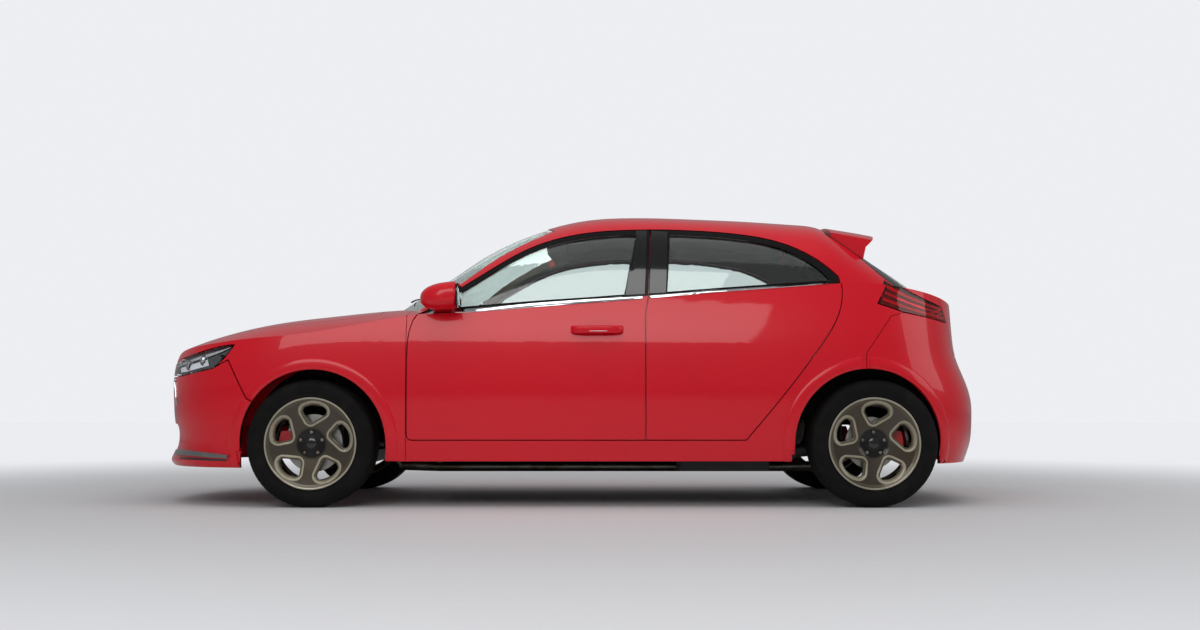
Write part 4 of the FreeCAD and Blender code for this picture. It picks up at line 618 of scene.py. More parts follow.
def dress(node: str, finish: str) -> None:
    """Gives a CAD node's object its material.

    Args:
        node: The CAD node's name.
        finish: The finish's name.
    """
    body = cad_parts[node]
    if not body.material_slots:
        body.data.materials.append(Finishes.get(finish))
    for slot in body.material_slots:
        slot.material = Finishes.get(finish)


class Shell:
    """The CAD nodes that stay in view, each in its finish."""

    FINISH: dict[str, str] = {
        "roof_panel": "lacquer_roof", "floor_pan": "carpet", "front_structure": "lacquer",
        "front_wings": "lacquer", "front_bumper": "lacquer", "grille": "black_gloss",
        "headlamps": "lamp_lens", "tail_lamps": "tail_lens", "rear_bumper": "lacquer",
        "windscreen": "screen_glass", "bonnet": "lacquer", "tailgate": "tailgate",
        "tailgate_glass": "screen_glass", "rear_spoiler": "lacquer", "dashboard": "cabin_dark",
        "steering_wheel": "leather", "front_seats": "seat_cloth", "rear_bench": "seat_cloth",
        "exhaust": "exhaust", "fuel_tank": "tank", "front_subframe": "chassis",
        "rear_axle": "chassis", "rear_calipers": "caliper", "engine": "engine",
    }

    def dress(self) -> None:
        """Dresses each node in its finish."""
        for node, finish in self.FINISH.items():
            dress(node, finish)
        for side in Side:
            word = side.word
            dress(f"body_side_{word}", f"lacquer_{word}")
            for place in ("front", "rear"):
                dress(f"{place}_door_{word}", f"door_{word}")
                dress(f"{place}_door_glass_{word}", "window_glass")
                dress(f"{place}_rim_{word}", "wheel")
                dress(f"{place}_tyre_{word}", "tyre")
                dress(f"{place}_disc_{word}", f"disc_{place}")
            dress(f"mirror_{word}", "lacquer")
            dress(f"knuckle_{word}", "chassis")
            dress(f"front_caliper_{word}", "caliper")
        LOG.info("dressed the CAD nodes")


# Stage, lamps and camera.
@dataclass
class Studio:
    """The pale floor, the soft lamps and the camera at the photograph's angle."""

    floor_size: float = 60.0
    haze_from: float = 2.2
    haze_to: float = 7.0
    mirrored: tuple[str, ...] = ("side_softbox", "tail_softbox")
    lens: float = 43.26
    camera_place: Point = (0.155, -7.791, 0.495)
    pitch_deg: float = 3.53
    lamps: list[tuple[str, Point, Point, float, float, float]] = field(default_factory=lambda: [
        ("overhead_softbox", (0.0, -1.2, 5.2), (0.0, 0.0, 0.7), 7.0, 5.0, 130.0),
        ("side_softbox", (-1.5, -8.0, 4.4), (0.0, 0.0, 0.6), 7.0, 3.4, 210.0),
        ("tail_softbox", (6.0, -2.5, 2.6), (0.6, 0.0, 0.6), 3.0, 2.5, 36.0),
        ("far_softbox", (0.5, 6.5, 3.2), (0.0, 0.0, 0.8), 6.0, 2.5, 60.0),
    ])

    def build(self) -> None:
        """Makes the floor, the sky, the lamps and the camera."""
        self._floor()
        self._sky()
        for lamp in self.lamps:
            self._lamp(*lamp)
        LOG.info("built the studio")
        self._camera()
        bpy.context.scene.view_settings.view_transform = "Standard"

    def _floor(self) -> None:
        """Lays a wide pale matt floor at road level."""
        half = self.floor_size / 2
        mesh = bpy.data.meshes.new("studio_floor")
        mesh.from_pydata([(-half, -half, 0), (half, -half, 0), (half, half, 0), (-half, half, 0)],
                         [], [(0, 1, 2, 3)])
        floor = bpy.data.objects.new("studio_floor", mesh)
        bpy.context.scene.collection.objects.link(floor)
        surface = Surface("pale_matt_floor")
        speckle = surface.noise(25.0, 3.0).outputs[0]
        surface.set(Base_Color=surface.between(speckle, linear("#D9DADB"), linear("#D2D3D5")),
                    Roughness=0.65)
        place = surface.axes()
        reach = surface.math("SQRT", surface.math("MULTIPLY_ADD", place["X"], place["X"],
                                                  surface.math("MULTIPLY", place["Y"], place["Y"])))
        seen = surface.add("ShaderNodeLightPath").outputs["Is Camera Ray"]
        far = surface.math("MULTIPLY", surface.ramp(reach, self.haze_from, self.haze_to), seen)
        haze = surface.add("ShaderNodeEmission", {"Color": linear("#F3F4F8"), "Strength": 0.93})
        mix = surface.add("ShaderNodeMixShader", {0: far, 1: surface.shader.outputs[0],
                                                  2: haze.outputs[0]})
        surface.tree.links.new(mix.outputs[0], surface.output.inputs["Surface"])
        floor.data.materials.append(surface.material)

    def _sky(self) -> None:
        """A pale even surround, brighter where the camera sees it, also through glass."""
        world = bpy.data.worlds.new("studio_surround")
        bpy.context.scene.world = world
        world.use_nodes = True
        tree = world.node_tree
        tree.nodes.clear()
        path = add_node(tree, "ShaderNodeLightPath")
        seen = math_node(tree, "MAXIMUM", path.outputs["Is Camera Ray"],
                         path.outputs["Is Transmission Ray"])
        strength = add_node(tree, "ShaderNodeMapRange", {"Value": seen, "To Min": 0.3,
                                                         "To Max": 0.95})
        sky = add_node(tree, "ShaderNodeBackground", {"Color": linear("#F3F4F8"),
                                                      "Strength": strength.outputs[0]})
        add_node(tree, "ShaderNodeOutputWorld", {"Surface": sky.outputs[0]})

    def _lamp(self, name: str, place: Point, target: Point, width: float, height: float,
              power: float) -> None:
        """Hangs one rectangular softbox that faces its target.

        Args:
            name: The lamp's name.
            place: Where it hangs.
            target: What it faces.
            width: Its width in metres.
            height: Its height in metres.
            power: Its power in watts.
        """
        light = bpy.data.lights.new(name, "AREA")
        light.shape = "RECTANGLE"
        light.size, light.size_y, light.energy = width, height, power
        lamp = bpy.data.objects.new(name, light)
        lamp.location = place
        aim = Vector(target) - Vector(place)
        lamp.rotation_euler = aim.to_track_quat("-Z", "Y").to_euler()
        lamp.visible_glossy = name in self.mirrored
        bpy.context.scene.collection.objects.link(lamp)

    def _camera(self) -> None:
        """Stands the camera where the photograph was taken from."""
        data = bpy.data.cameras.new("photo_camera")
        data.lens, data.sensor_width = self.lens, 36.0
        data.clip_end = 200.0
        camera = bpy.data.objects.new("photo_camera", data)
        camera.location = self.camera_place
        camera.rotation_euler = (math.radians(90 + self.pitch_deg), 0.0, 0.0)
        bpy.context.scene.collection.objects.link(camera)
        bpy.context.scene.camera = camera


# Mesh helpers.
def as_piece(mesh: bpy.types.Mesh, finish: str, body: str,
             name: str = "") -> bpy.types.Object:
    """Makes a finished piece of a mesh: its object, material, body and slot.

    Args:
        mesh: Its mesh, in place.
        finish: The finish's name.
        body: The CAD body that it rides on.
        name: The piece's name, where it isn't the mesh's.

    Returns:
        The piece.
    """
    piece = bpy.data.objects.new(name or mesh.name, mesh)
    bpy.context.scene.collection.objects.link(piece)
    piece.data.materials.clear()
    piece.data.materials.append(Finishes.get(finish))
    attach(piece, body)
    LOG.info("%s rides on %s", piece.name, body)
    return piece


def mesh_of(name: str, points: Sequence[Any], faces: Sequence[Sequence[int]],
            smooth: float = 35.0) -> bpy.types.Mesh:
    """Makes a closed mesh with outward faces.

    Args:
        name: The mesh's name.
        points: The vertices.
        faces: The faces' vertex numbers.
        smooth: Edges flatter than this many degrees are shaded smooth.

    Returns:
        The mesh.
    """
    work = bmesh.new()
    made = [work.verts.new(point) for point in points]
    for face in faces:
        if len(set(face)) > 2:
            work.faces.new([made[place] for place in face])
    bmesh.ops.remove_doubles(work, verts=work.verts, dist=1e-6)
    bmesh.ops.recalc_face_normals(work, faces=work.faces)
    mesh = bpy.data.meshes.new(name)
    work.to_mesh(mesh)
    work.free()
    mesh.shade_smooth()
    mesh.set_sharp_from_angle(angle=math.radians(smooth))
    return mesh


def rings_mesh(name: str, rings: Sequence[Sequence[Point]], closed: bool = False,
               smooth: float = 35.0) -> bpy.types.Mesh:
    """Skins rings of equal length in order, capped at both ends or joined end to end.

    Args:
        name: The mesh's name.
        rings: The closed sections.
        closed: Whether the last ring joins the first.
        smooth: The smoothing angle in degrees.

    Returns:
        The mesh.
    """
    count, around = len(rings), len(rings[0])
    points = [point for ring in rings for point in ring]
    faces: list[Sequence[int]] = []
    for place in range(count if closed else count - 1):
        here, there = place * around, (place + 1) % count * around
        faces += [(here + step, here + (step + 1) % around, there + (step + 1) % around,
                   there + step) for step in range(around)]
    if not closed:
        faces += [tuple(range(around)), tuple(range(len(points) - around, len(points)))]
    return mesh_of(name, points, faces, smooth)


def turned(name: str, profile: Sequence[tuple[float, float]], centre: Point, steps: int = 96,
           smooth: float = 35.0, side: int = 1) -> bpy.types.Mesh:
    """Turns a closed profile about an axle along Y.

    Args:
        name: The mesh's name.
        profile: Radius and distance along the axle, in millimetres.
        centre: The middle of the axle.
        steps: The number of steps round.
        smooth: The smoothing angle in degrees.
        side: The sign that the distance along the axle is given.

    Returns:
        The mesh.
    """
    rings = []
    for step in range(steps):
        angle = 2 * math.pi * step / steps
        rings.append([(centre[0] + radius / 1000 * math.cos(angle),
                       centre[1] + side * along / 1000,
                       centre[2] + radius / 1000 * math.sin(angle)) for radius, along in profile])
    return rings_mesh(name, rings, True, smooth)


def spline(points: Sequence[Sequence[float]], count: int) -> list[Vector]:
    """Points spaced evenly along a smooth curve through the given ones.

    Args:
        points: The points that the curve goes through.
        count: How many points come back.

    Returns:
        The points.
    """
    knots = [Vector(point) for point in points]
    padded = [2 * knots[0] - knots[1]] + knots + [2 * knots[-1] - knots[-2]]
    fine: list[Vector] = []
    for place in range(1, len(padded) - 2):
        before, here, there, after = padded[place - 1:place + 3]
        for step in range(24):
            t = step / 24
            fine.append(0.5 * (2 * here + (there - before) * t
                               + (2 * before - 5 * here + 4 * there - after) * t * t
                               + (3 * here - before - 3 * there + after) * t ** 3))
    fine.append(knots[-1])
    lengths = [0.0]
    for first, second in zip(fine, fine[1:]):
        lengths.append(lengths[-1] + (second - first).length)
    result, place = [], 0
    for step in range(count):
        target = lengths[-1] * step / (count - 1)
        while place < len(fine) - 2 and lengths[place + 1] < target:
            place += 1
        span = lengths[place + 1] - lengths[place] or 1.0
        result.append(fine[place].lerp(fine[place + 1], (target - lengths[place]) / span))
    return result


def swept(name: str, path: Sequence[Vector], section: Sequence[tuple[float, float]], up: Vector,
          closed: bool = False, smooth: float = 35.0) -> bpy.types.Mesh:
    """Sweeps a section along a path.

    Args:
        name: The mesh's name.
        path: The points of the path.
        section: Sideways and upward offsets in millimetres.
        up: The direction that the section's upward axis keeps near.
        closed: Whether the path is a loop.
        smooth: The smoothing angle in degrees.

    Returns:
        The mesh.
    """
    rings = []
    count = len(path)
    for place, point in enumerate(path):
        ahead = path[(place + 1) % count] if closed or place < count - 1 else point
        behind = path[place - 1] if closed or place else point
        run = (ahead - behind).normalized()
        sideways = run.cross(up).normalized()
        rise = sideways.cross(run)
        rings.append([tuple(point + sideways * (a / 1000) + rise * (b / 1000))
                      for a, b in section])
    return rings_mesh(name, rings, closed, smooth)


def rounded(width: float, height: float, corner: float,
            steps: int = 4) -> list[tuple[float, float]]:
    """A rectangle with rounded corners round the origin, in the units given.

    Args:
        width: Its width.
        height: Its height.
        corner: The radius of its corners.
        steps: The number of steps in each corner.

    Returns:
        The outline's points, counter-clockwise.
    """
    points = []
    for turn, (across, up) in enumerate(((1, 1), (-1, 1), (-1, -1), (1, -1))):
        for step in range(steps + 1):
            angle = math.pi / 2 * (turn + step / steps)
            points.append((across * (width / 2 - corner) + corner * math.cos(angle),
                           up * (height / 2 - corner) + corner * math.sin(angle)))
    return points


def rounded_polygon(corners: Sequence[tuple[float, float, float]], grow: float = 0.0,
                    steps: int = 7) -> list[tuple[float, float]]:
    """A convex outline with rounded corners, grown outward by a distance.

    Args:
        corners: Each corner's two coordinates and radius, counter-clockwise.
        grow: The distance that the outline is grown by.
        steps: The number of steps in each corner.

    Returns:
        The outline's points, of which there are equally many for every distance.
    """
    spots = [Vector((first, second)) for first, second, _ in corners]
    count = len(spots)
    moved = []
    for place, spot in enumerate(spots):
        before = (spot - spots[place - 1]).normalized()
        after = (spots[(place + 1) % count] - spot).normalized()
        outward = Vector((before.y + after.y, -before.x - after.x)).normalized()
        moved.append(spot + outward * (grow / outward.dot(Vector((before.y, -before.x)))))
    points = []
    for place, spot in enumerate(moved):
        back = (moved[place - 1] - spot).normalized()
        ahead = (moved[(place + 1) % count] - spot).normalized()
        half = back.angle(ahead) / 2
        radius = max(corners[place][2] + grow, 1.0)
        middle = spot + (back + ahead).normalized() * (radius / math.sin(half))
        first = spot + back * (radius / math.tan(half)) - middle
        last = spot + ahead * (radius / math.tan(half)) - middle
        start = math.atan2(first.y, first.x)
        sweep = (math.atan2(last.y, last.x) - start + math.pi) % (2 * math.pi) - math.pi
        points += [(middle.x + radius * math.cos(start + sweep * step / steps),
                    middle.y + radius * math.sin(start + sweep * step / steps))
                   for step in range(steps + 1)]
    return points


def read_off(table: Sequence[tuple[float, float]], value: float) -> float:
    """Reads a table of pairs at a value, in a straight line between its rows.

    Args:
        table: The pairs, by rising first number.
        value: Where it is read.

    Returns:
        The second number there.
    """
    for (first, low), (second, high) in zip(table, table[1:]):
        if value <= second:
            return low + (high - low) * max(value - first, 0.0) / (second - first)
    return table[-1][1]


def faced(name: str, skin: "Skin", outline: Sequence[tuple[float, float]], start_x: float,
          way: int, proud_mm: float, sunk_mm: float, smooth: float = 40.0) -> bpy.types.Mesh:
    """A plate that lies on a surface which faces along the car, cut to an outline of Y and Z.

    Args:
        name: The mesh's name.
        skin: The surface that carries it.
        outline: The plate's Y and Z points, in metres.
        start_x: Where the lines that find the surface start.
        way: The sign of X that they run in.
        proud_mm: How far the plate stands out.
        sunk_mm: How far its back lies under the surface.
        smooth: The smoothing angle in degrees.

    Returns:
        The mesh.
    """
    middle_y = sum(y for y, _ in outline) / len(outline)
    middle_z = sum(z for _, z in outline) / len(outline)
    rings: list[list[Point]] = []
    for share, lift in ((1.0, -sunk_mm), (1.0, proud_mm * 0.6), (0.97, proud_mm), (0.6, proud_mm),
                        (0.25, proud_mm)):
        ring = []
        for y, z in outline:
            place, normal = skin.hit((start_x, middle_y + (y - middle_y) * share,
                                      middle_z + (z - middle_z) * share), (way, 0, 0))
            ring.append(tuple(place + normal * (lift / 1000)))
        rings.append(ring)
    return rings_mesh(name, rings, False, smooth)


def puffed(mesh: bpy.types.Mesh, voxel_mm: float, cap_mm: float, pressure: float = 4.0,
           frames: int = 16) -> bpy.types.Mesh:
    """Fills a closed cover, as foam fills it, by a short cloth simulation with its move capped.

    Args:
        mesh: The slightly small cover.
        voxel_mm: The width of the cells that it is meshed with anew.
        cap_mm: How far a point may move.
        pressure: The pressure inside.
        frames: The number of frames of the simulation.
    """
    name = mesh.name
    cover = bpy.data.objects.new(f"{name}_cover", mesh)
    bpy.context.scene.collection.objects.link(cover)

    def applied(kind: str, **settings: Any) -> None:
        """Adds a modifier, applies it and takes it off.

        Args:
            kind: The modifier's type.
            **settings: Its settings.
        """
        modifier = cover.modifiers.new(kind.lower(), kind)
        for key, value in settings.items():
            setattr(modifier, key, value)
        view = bpy.context.evaluated_depsgraph_get()
        made = bpy.data.meshes.new_from_object(cover.evaluated_get(view))
        cover.modifiers.remove(modifier)
        cover.data = made

    applied("REMESH", mode="VOXEL", voxel_size=voxel_mm / 1000)
    applied("SMOOTH", factor=0.6, iterations=4)
    rest = [vertex.co.copy() for vertex in cover.data.vertices]
    cloth = cover.modifiers.new("cloth", "CLOTH")
    cloth.settings.use_pressure = True
    cloth.settings.uniform_pressure_force = pressure
    cloth.settings.effector_weights.gravity = 0.0
    cloth.point_cache.frame_start, cloth.point_cache.frame_end = 1, frames
    for number in range(1, frames + 1):
        bpy.context.scene.frame_set(number)
    view = bpy.context.evaluated_depsgraph_get()
    filled = bpy.data.meshes.new_from_object(cover.evaluated_get(view))
    cover.modifiers.remove(cloth)
    bpy.context.scene.frame_set(1)
    for vertex, start in zip(filled.vertices, rest):
        move = vertex.co - start
        if move.length > cap_mm / 1000:
            vertex.co = start + move * (cap_mm / 1000 / move.length)
    cover.data = filled
    applied("SMOOTH", factor=0.5, iterations=3)
    applied("SUBSURF", levels=1)
    result = cover.data
    bpy.data.objects.remove(cover)
    result.name = name
    result.shade_smooth()
    return result


class Skin:
    """The outer surface of some CAD nodes, for laying trim on them."""

    def __init__(self, *nodes: str) -> None:
        """Reads the nodes' meshes.

        Args:
            *nodes: The CAD nodes' names.
        """
        points: list[Vector] = []
        faces: list[tuple[int, ...]] = []
        for node in nodes:
            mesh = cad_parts[node].data
            first = len(points)
            points += [vertex.co.copy() for vertex in mesh.vertices]
            faces += [tuple(first + corner for corner in face.vertices) for face in mesh.polygons]
        self.tree = BVHTree.FromPolygons(points, faces)

    def hit(self, start: Sequence[float], way: Sequence[float]) -> tuple[Vector, Vector]:
        """Where a line from a point first meets the surface.

        Args:
            start: The point.
            way: The line's direction.

        Returns:
            The place and its normal, turned back towards the start.
        """
        place, normal, _, _ = self.tree.ray_cast(Vector(start), Vector(way).normalized())
        if place is None:
            place, normal, _, _ = self.tree.find_nearest(
                Vector(start) + Vector(way).normalized() * 0.5)
        if normal.dot(Vector(way)) > 0:
            normal = -normal
        return place, normal

    def side(self, x: float, z: float, side: Side) -> tuple[Vector, Vector]:
        """The place and normal on a flank, at X and Z in millimetres."""
        return self.hit((x / 1000, side.value * 1.3, z / 1000), (0, -side.value, 0))


def laid_plate(name: str, skin: Skin, edges: tuple[Sequence[Any], Sequence[Any]], side: Side,
               proud_mm: float, sunk_mm: float, count: int = 48, across: int = 3,
               crown_mm: float = 0.0) -> bpy.types.Mesh:
    """A strip that lies on a flank between two edges and follows its surface.

    Args:
        name: The mesh's name.
        skin: The surface that carries it.
        edges: The lower and the upper edge, as X and Z points in millimetres.
        side: The car's side.
        proud_mm: How far it stands out of the surface.
        sunk_mm: How far its back lies under the surface.
        count: The number of steps along it.
        across: The number of steps across it.
        crown_mm: How much its middle stands further out than its edges.

    Returns:
        The mesh.
    """
    low, high = (spline([(x, 0.0, z) for x, z in edge], count) for edge in edges)
    rings = []
    for first, second in zip(low, high):
        front, back = [], []
        for step in range(across + 1):
            part = step / across
            spot = first.lerp(second, part)
            place, normal = skin.side(spot.x, spot.z, side)
            out = proud_mm + crown_mm * math.sin(math.pi * part)
            front.append(tuple(place + normal * (out / 1000)))
            back.append(tuple(place - normal * (sunk_mm / 1000)))
        rings.append(front + back[::-1])
    return rings_mesh(name, rings)


# Repeats.
class Repeats:
    """One node tree that sets copies of a piece in a ring about Y, and joins them."""

    _tree: bpy.types.NodeTree | None = None

    @classmethod
    def tree(cls) -> bpy.types.NodeTree:
        """Builds the tree on first use.

        Returns:
            The tree, whose inputs are Piece, Count, Turn, Centre and Finish.
        """
        if cls._tree is None:
            tree = bpy.data.node_groups.new("copies_in_ring", "GeometryNodeTree")
            sockets = (("Piece", "NodeSocketObject"), ("Count", "NodeSocketInt"),
                       ("Turn", "NodeSocketFloat"), ("Centre", "NodeSocketVector"),
                       ("Finish", "NodeSocketMaterial"))
            for name, kind in sockets:
                tree.interface.new_socket(name, in_out="INPUT", socket_type=kind)
            tree.interface.new_socket("Geometry", in_out="OUTPUT", socket_type="NodeSocketGeometry")
            given = add_node(tree, "NodeGroupInput").outputs
            piece = add_node(tree, "GeometryNodeObjectInfo", {"Object": given["Piece"]})
            number = add_node(tree, "GeometryNodeInputIndex").outputs[0]
            points = add_node(tree, "GeometryNodePoints", {"Count": given["Count"]})
            angle = math_node(tree, "MULTIPLY", number, given["Turn"])
            turn = add_node(tree, "ShaderNodeCombineXYZ", {"Y": angle})
            copies = add_node(tree, "GeometryNodeInstanceOnPoints",
                              {"Points": points.outputs[0], "Instance": piece.outputs["Geometry"],
                               "Rotation": turn.outputs[0]})
            placed = add_node(tree, "GeometryNodeTransform",
                              {"Geometry": copies.outputs[0], "Translation": given["Centre"]})
            solid = add_node(tree, "GeometryNodeRealizeInstances", {0: placed.outputs[0]})
            finish = add_node(tree, "GeometryNodeSetMaterial",
                              {"Geometry": solid.outputs[0], "Material": given["Finish"]})
            add_node(tree, "NodeGroupOutput", {0: finish.outputs[0]})
            cls._tree = tree
        return cls._tree

    @classmethod
    def make(cls, name: str, template: bpy.types.Mesh, count: int, finish: str, body: str,
             slot: str, centre: Sequence[float], turn_deg: float) -> bpy.types.Object:
        """Makes one plain piece of the copies.

        Args:
            name: The piece's name.
            template: The mesh that is repeated.
            count: The number of copies.
            finish: The finish's name.
            body: The CAD body that it rides on.
            slot: Not used.
            centre: Where the ring's axle is.
            turn_deg: The turn from one copy to the next.

        Returns:
            The piece.
        """
        pattern = bpy.data.objects.new(f"{name}_pattern", template)
        carrier = bpy.data.objects.new(f"{name}_carrier", bpy.data.meshes.new(f"{name}_carrier"))
        for thing in (pattern, carrier):
            bpy.context.scene.collection.objects.link(thing)
        modifier = carrier.modifiers.new("copies", "NODES")
        modifier.node_group = cls.tree()
        values = {"Piece": pattern, "Count": count, "Turn": math.radians(turn_deg),
                  "Centre": tuple(centre), "Finish": Finishes.get(finish)}
        for socket in modifier.node_group.interface.items_tree:
            if socket.item_type == "SOCKET" and socket.in_out == "INPUT":
                modifier[socket.identifier] = values[socket.name]
        carrier.update_tag()
        view = bpy.context.evaluated_depsgraph_get()
        mesh = bpy.data.meshes.new_from_object(carrier.evaluated_get(view))
        carrier.modifiers.remove(modifier)
        for thing in (pattern, carrier):
            bpy.data.objects.remove(thing)
        mesh.name = name
        return as_piece(mesh, finish, body)


# Wheels.
@dataclass
class Wheel:
    """One road wheel: its tyre with grooves and shoulder blocks, window bevels, nuts and cap."""

    place: str
    side: Side
    axle_x: float
    axle_y: float = 0.776
    road_mm: float = 306.0
    half_width_mm: float = 102.0
    shoulder_blocks: int = 72
    windows: int = 5
    nuts: int = 5
    nut_circle_mm: float = 54.0
    face: tuple[tuple[float, float], ...] = ((60.0, 64.0), (78.0, 74.0), (130.0, 82.0),
                                             (172.0, 88.0), (198.0, 92.0), (216.0, 99.0))

    @property
    def centre(self) -> Point:
        """The middle of the wheel."""
        return self.axle_x, self.side.value * self.axle_y, AXLE_Z

    @property
    def body(self) -> str:
        """The CAD body of the wheel."""
        return f"{self.place}_wheel_{self.side.word}"

    def build(self) -> None:
        """Makes the wheel's pieces."""
        self._carcass()
        self._shoulders()
        self._nuts()
        self._cap()
        self._bevels()
        self._flange()

    def _bevels(self) -> None:
        """Lines the five windows with their broad machined bevels, a hair proud of the face."""
        lean, spread, outer = 7.0, 25.5, 178.0
        corners = []
        for radius, degrees, corner in ((outer, spread - lean, 24.0), (88.0, lean, 20.0),
                                        (outer, -spread - lean, 24.0), (outer + 26, -lean, 90.0)):
            turn = math.radians(90 + degrees)
            corners.append((radius * math.cos(turn), radius * math.sin(turn), corner))
        rings = []
        for grow, lift in ((15.5, -3.0), (15.0, 0.7), (13.0, 1.3), (5.0, 0.3), (-1.5, -6.0),
                           (-3.5, -13.0), (-4.0, -36.0), (1.0, -36.0)):
            ring = []
            for x, z in rounded_polygon(corners, grow, 7):
                face = read_off(self.face, math.hypot(x, z))
                ring.append((x / 1000, self.side.value * (face + lift) / 1000, z / 1000))
            rings.append(ring)
        template = rings_mesh("window_bevel", rings, True, 38.0)
        Repeats.make(f"{self.place}_window_bevels_{self.side.word}", template, self.windows,
                     "wheel_bevel", self.body, "alloy", self.centre, 360.0 / self.windows)

    def _flange(self) -> None:
        """Turns the thin bright edge of the rim's flange."""
        profile = [(212.0, 96.0), (213.0, 99.4), (215.0, 100.2), (219.0, 100.2), (221.0, 99.0),
                   (221.2, 95.0)]
        mesh = turned(f"{self.place}_rim_flange_{self.side.word}", profile, self.centre, 128, 30.0,
                      self.side.value)
        as_piece(mesh, "wheel_edge", self.body)

    def _carcass(self) -> None:
        """Turns the tyre with its bead, rim guard, sidewall rings and four tread grooves."""
        half, road = self.half_width_mm, self.road_mm
        wall = [(204.0, 85.0), (212.0, 88.0), (221.5, 92.0), (226.0, 96.5), (230.0, 97.0),
                (234.0, 96.0), (246.0, 99.5), (258.0, half), (262.0, half), (263.0, half - 1.0),
                (270.0, half - 0.8), (271.0, half - 0.2), (279.0, half - 2.0), (288.0, half - 5.5),
                (295.0, half - 10.0), (300.0, half - 15.0), (303.5, half - 21.0)]
        tread: list[tuple[float, float]] = [(road - 0.8, 74.0)]
        for middle in (46.0, 16.0, -16.0, -46.0):
            tread += [(road, middle + 5.5), (road - 7, middle + 4), (road - 7, middle - 4),
                      (road, middle - 5.5)]
        tread.append((road - 0.8, -74.0))
        other = [(radius, -along) for radius, along in reversed(wall)]
        inside = [(218.0, -70.0), (250.0, -91.0), (286.0, -84.0), (292.0, -60.0), (292.0, 60.0),
                  (286.0, 84.0), (250.0, 91.0), (218.0, 70.0)]
        mesh = turned(f"{self.place}_tyre_carcass_{self.side.word}", wall + tread + other + inside,
                      self.centre, 144, 28.0, self.side.value)
        piece = as_piece(mesh, "tyre", self.body)
        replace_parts(piece, f"{self.place}_tyre_{self.side.word}")

    def _shoulders(self) -> None:
        """Sets the shoulder blocks of the tread round both edges, with the slots between them."""
        slot_mm, lean, proud = 4.0, 0.0006, 1.3
        span = 2 * math.pi * self.road_mm / self.shoulder_blocks - slot_mm
        profile = [(303.5, 81.5), (304.6, 79.0), (304.0, 60.0), (299.0, 58.0), (296.0, 86.0),
                   (299.5, 87.5)]
        points: list[Point] = []
        faces: list[Sequence[int]] = []
        for sign in (1, -1):
            first = len(points)
            for edge in (-0.5, 0.5):
                for radius, along in profile:
                    angle = edge * span / self.road_mm + sign * (along - 70) * lean
                    points.append(((radius + proud) / 1000 * math.sin(angle), sign * along / 1000,
                                   (radius + proud) / 1000 * math.cos(angle)))
            around = len(profile)
            faces += [(first + step, first + (step + 1) % around,
                       first + around + (step + 1) % around, first + around + step)
                      for step in range(around)]
            faces += [tuple(range(first, first + around)),
                      tuple(range(first + around, first + 2 * around))]
        template = mesh_of("shoulder_block", points, faces, 30.0)
        Repeats.make(f"{self.place}_tread_blocks_{self.side.word}", template, self.shoulder_blocks,
                     "tyre", self.body, "tyre", self.centre, 360.0 / self.shoulder_blocks)

    def _nuts(self) -> None:
        """Sets the wheel nuts in their pockets round the cap."""
        points: list[Point] = []
        faces: list[Sequence[int]] = []
        rings = ((9.0, 60.0), (9.0, 66.5), (8.0, 68.0), (5.0, 68.4))
        outward = self.side.value
        for radius, along in rings:
            for step in range(6):
                angle = math.radians(60 * step)
                points.append((radius / 1000 * math.cos(angle), outward * along / 1000,
                               (self.nut_circle_mm + radius * math.sin(angle)) / 1000))
        for ring in range(len(rings) - 1):
            faces += [(ring * 6 + step, ring * 6 + (step + 1) % 6, ring * 6 + 6 + (step + 1) % 6,
                       ring * 6 + 6 + step) for step in range(6)]
        faces += [tuple(range(6)), tuple(range(18, 24))]
        template = mesh_of("wheel_nut", points, faces, 25.0)
        Repeats.make(f"{self.place}_wheel_nuts_{self.side.word}", template, self.nuts,
                     "exhaust", self.body, "disc_steel", self.centre, 360.0 / self.nuts)

    def _cap(self) -> None:
        """Turns the plain black hub cap, with a raised ring round its domed middle."""
        profile = [(0.0, 60.0), (29.0, 60.0), (29.5, 67.5), (28.0, 69.2), (25.5, 69.0),
                   (24.5, 67.6), (20.0, 69.4), (10.0, 70.6), (0.0, 71.0)]
        mesh = turned(f"{self.place}_hub_cap_{self.side.word}", profile, self.centre, 60, 25.0,
                      self.side.value)
        as_piece(mesh, "black_gloss", self.body)


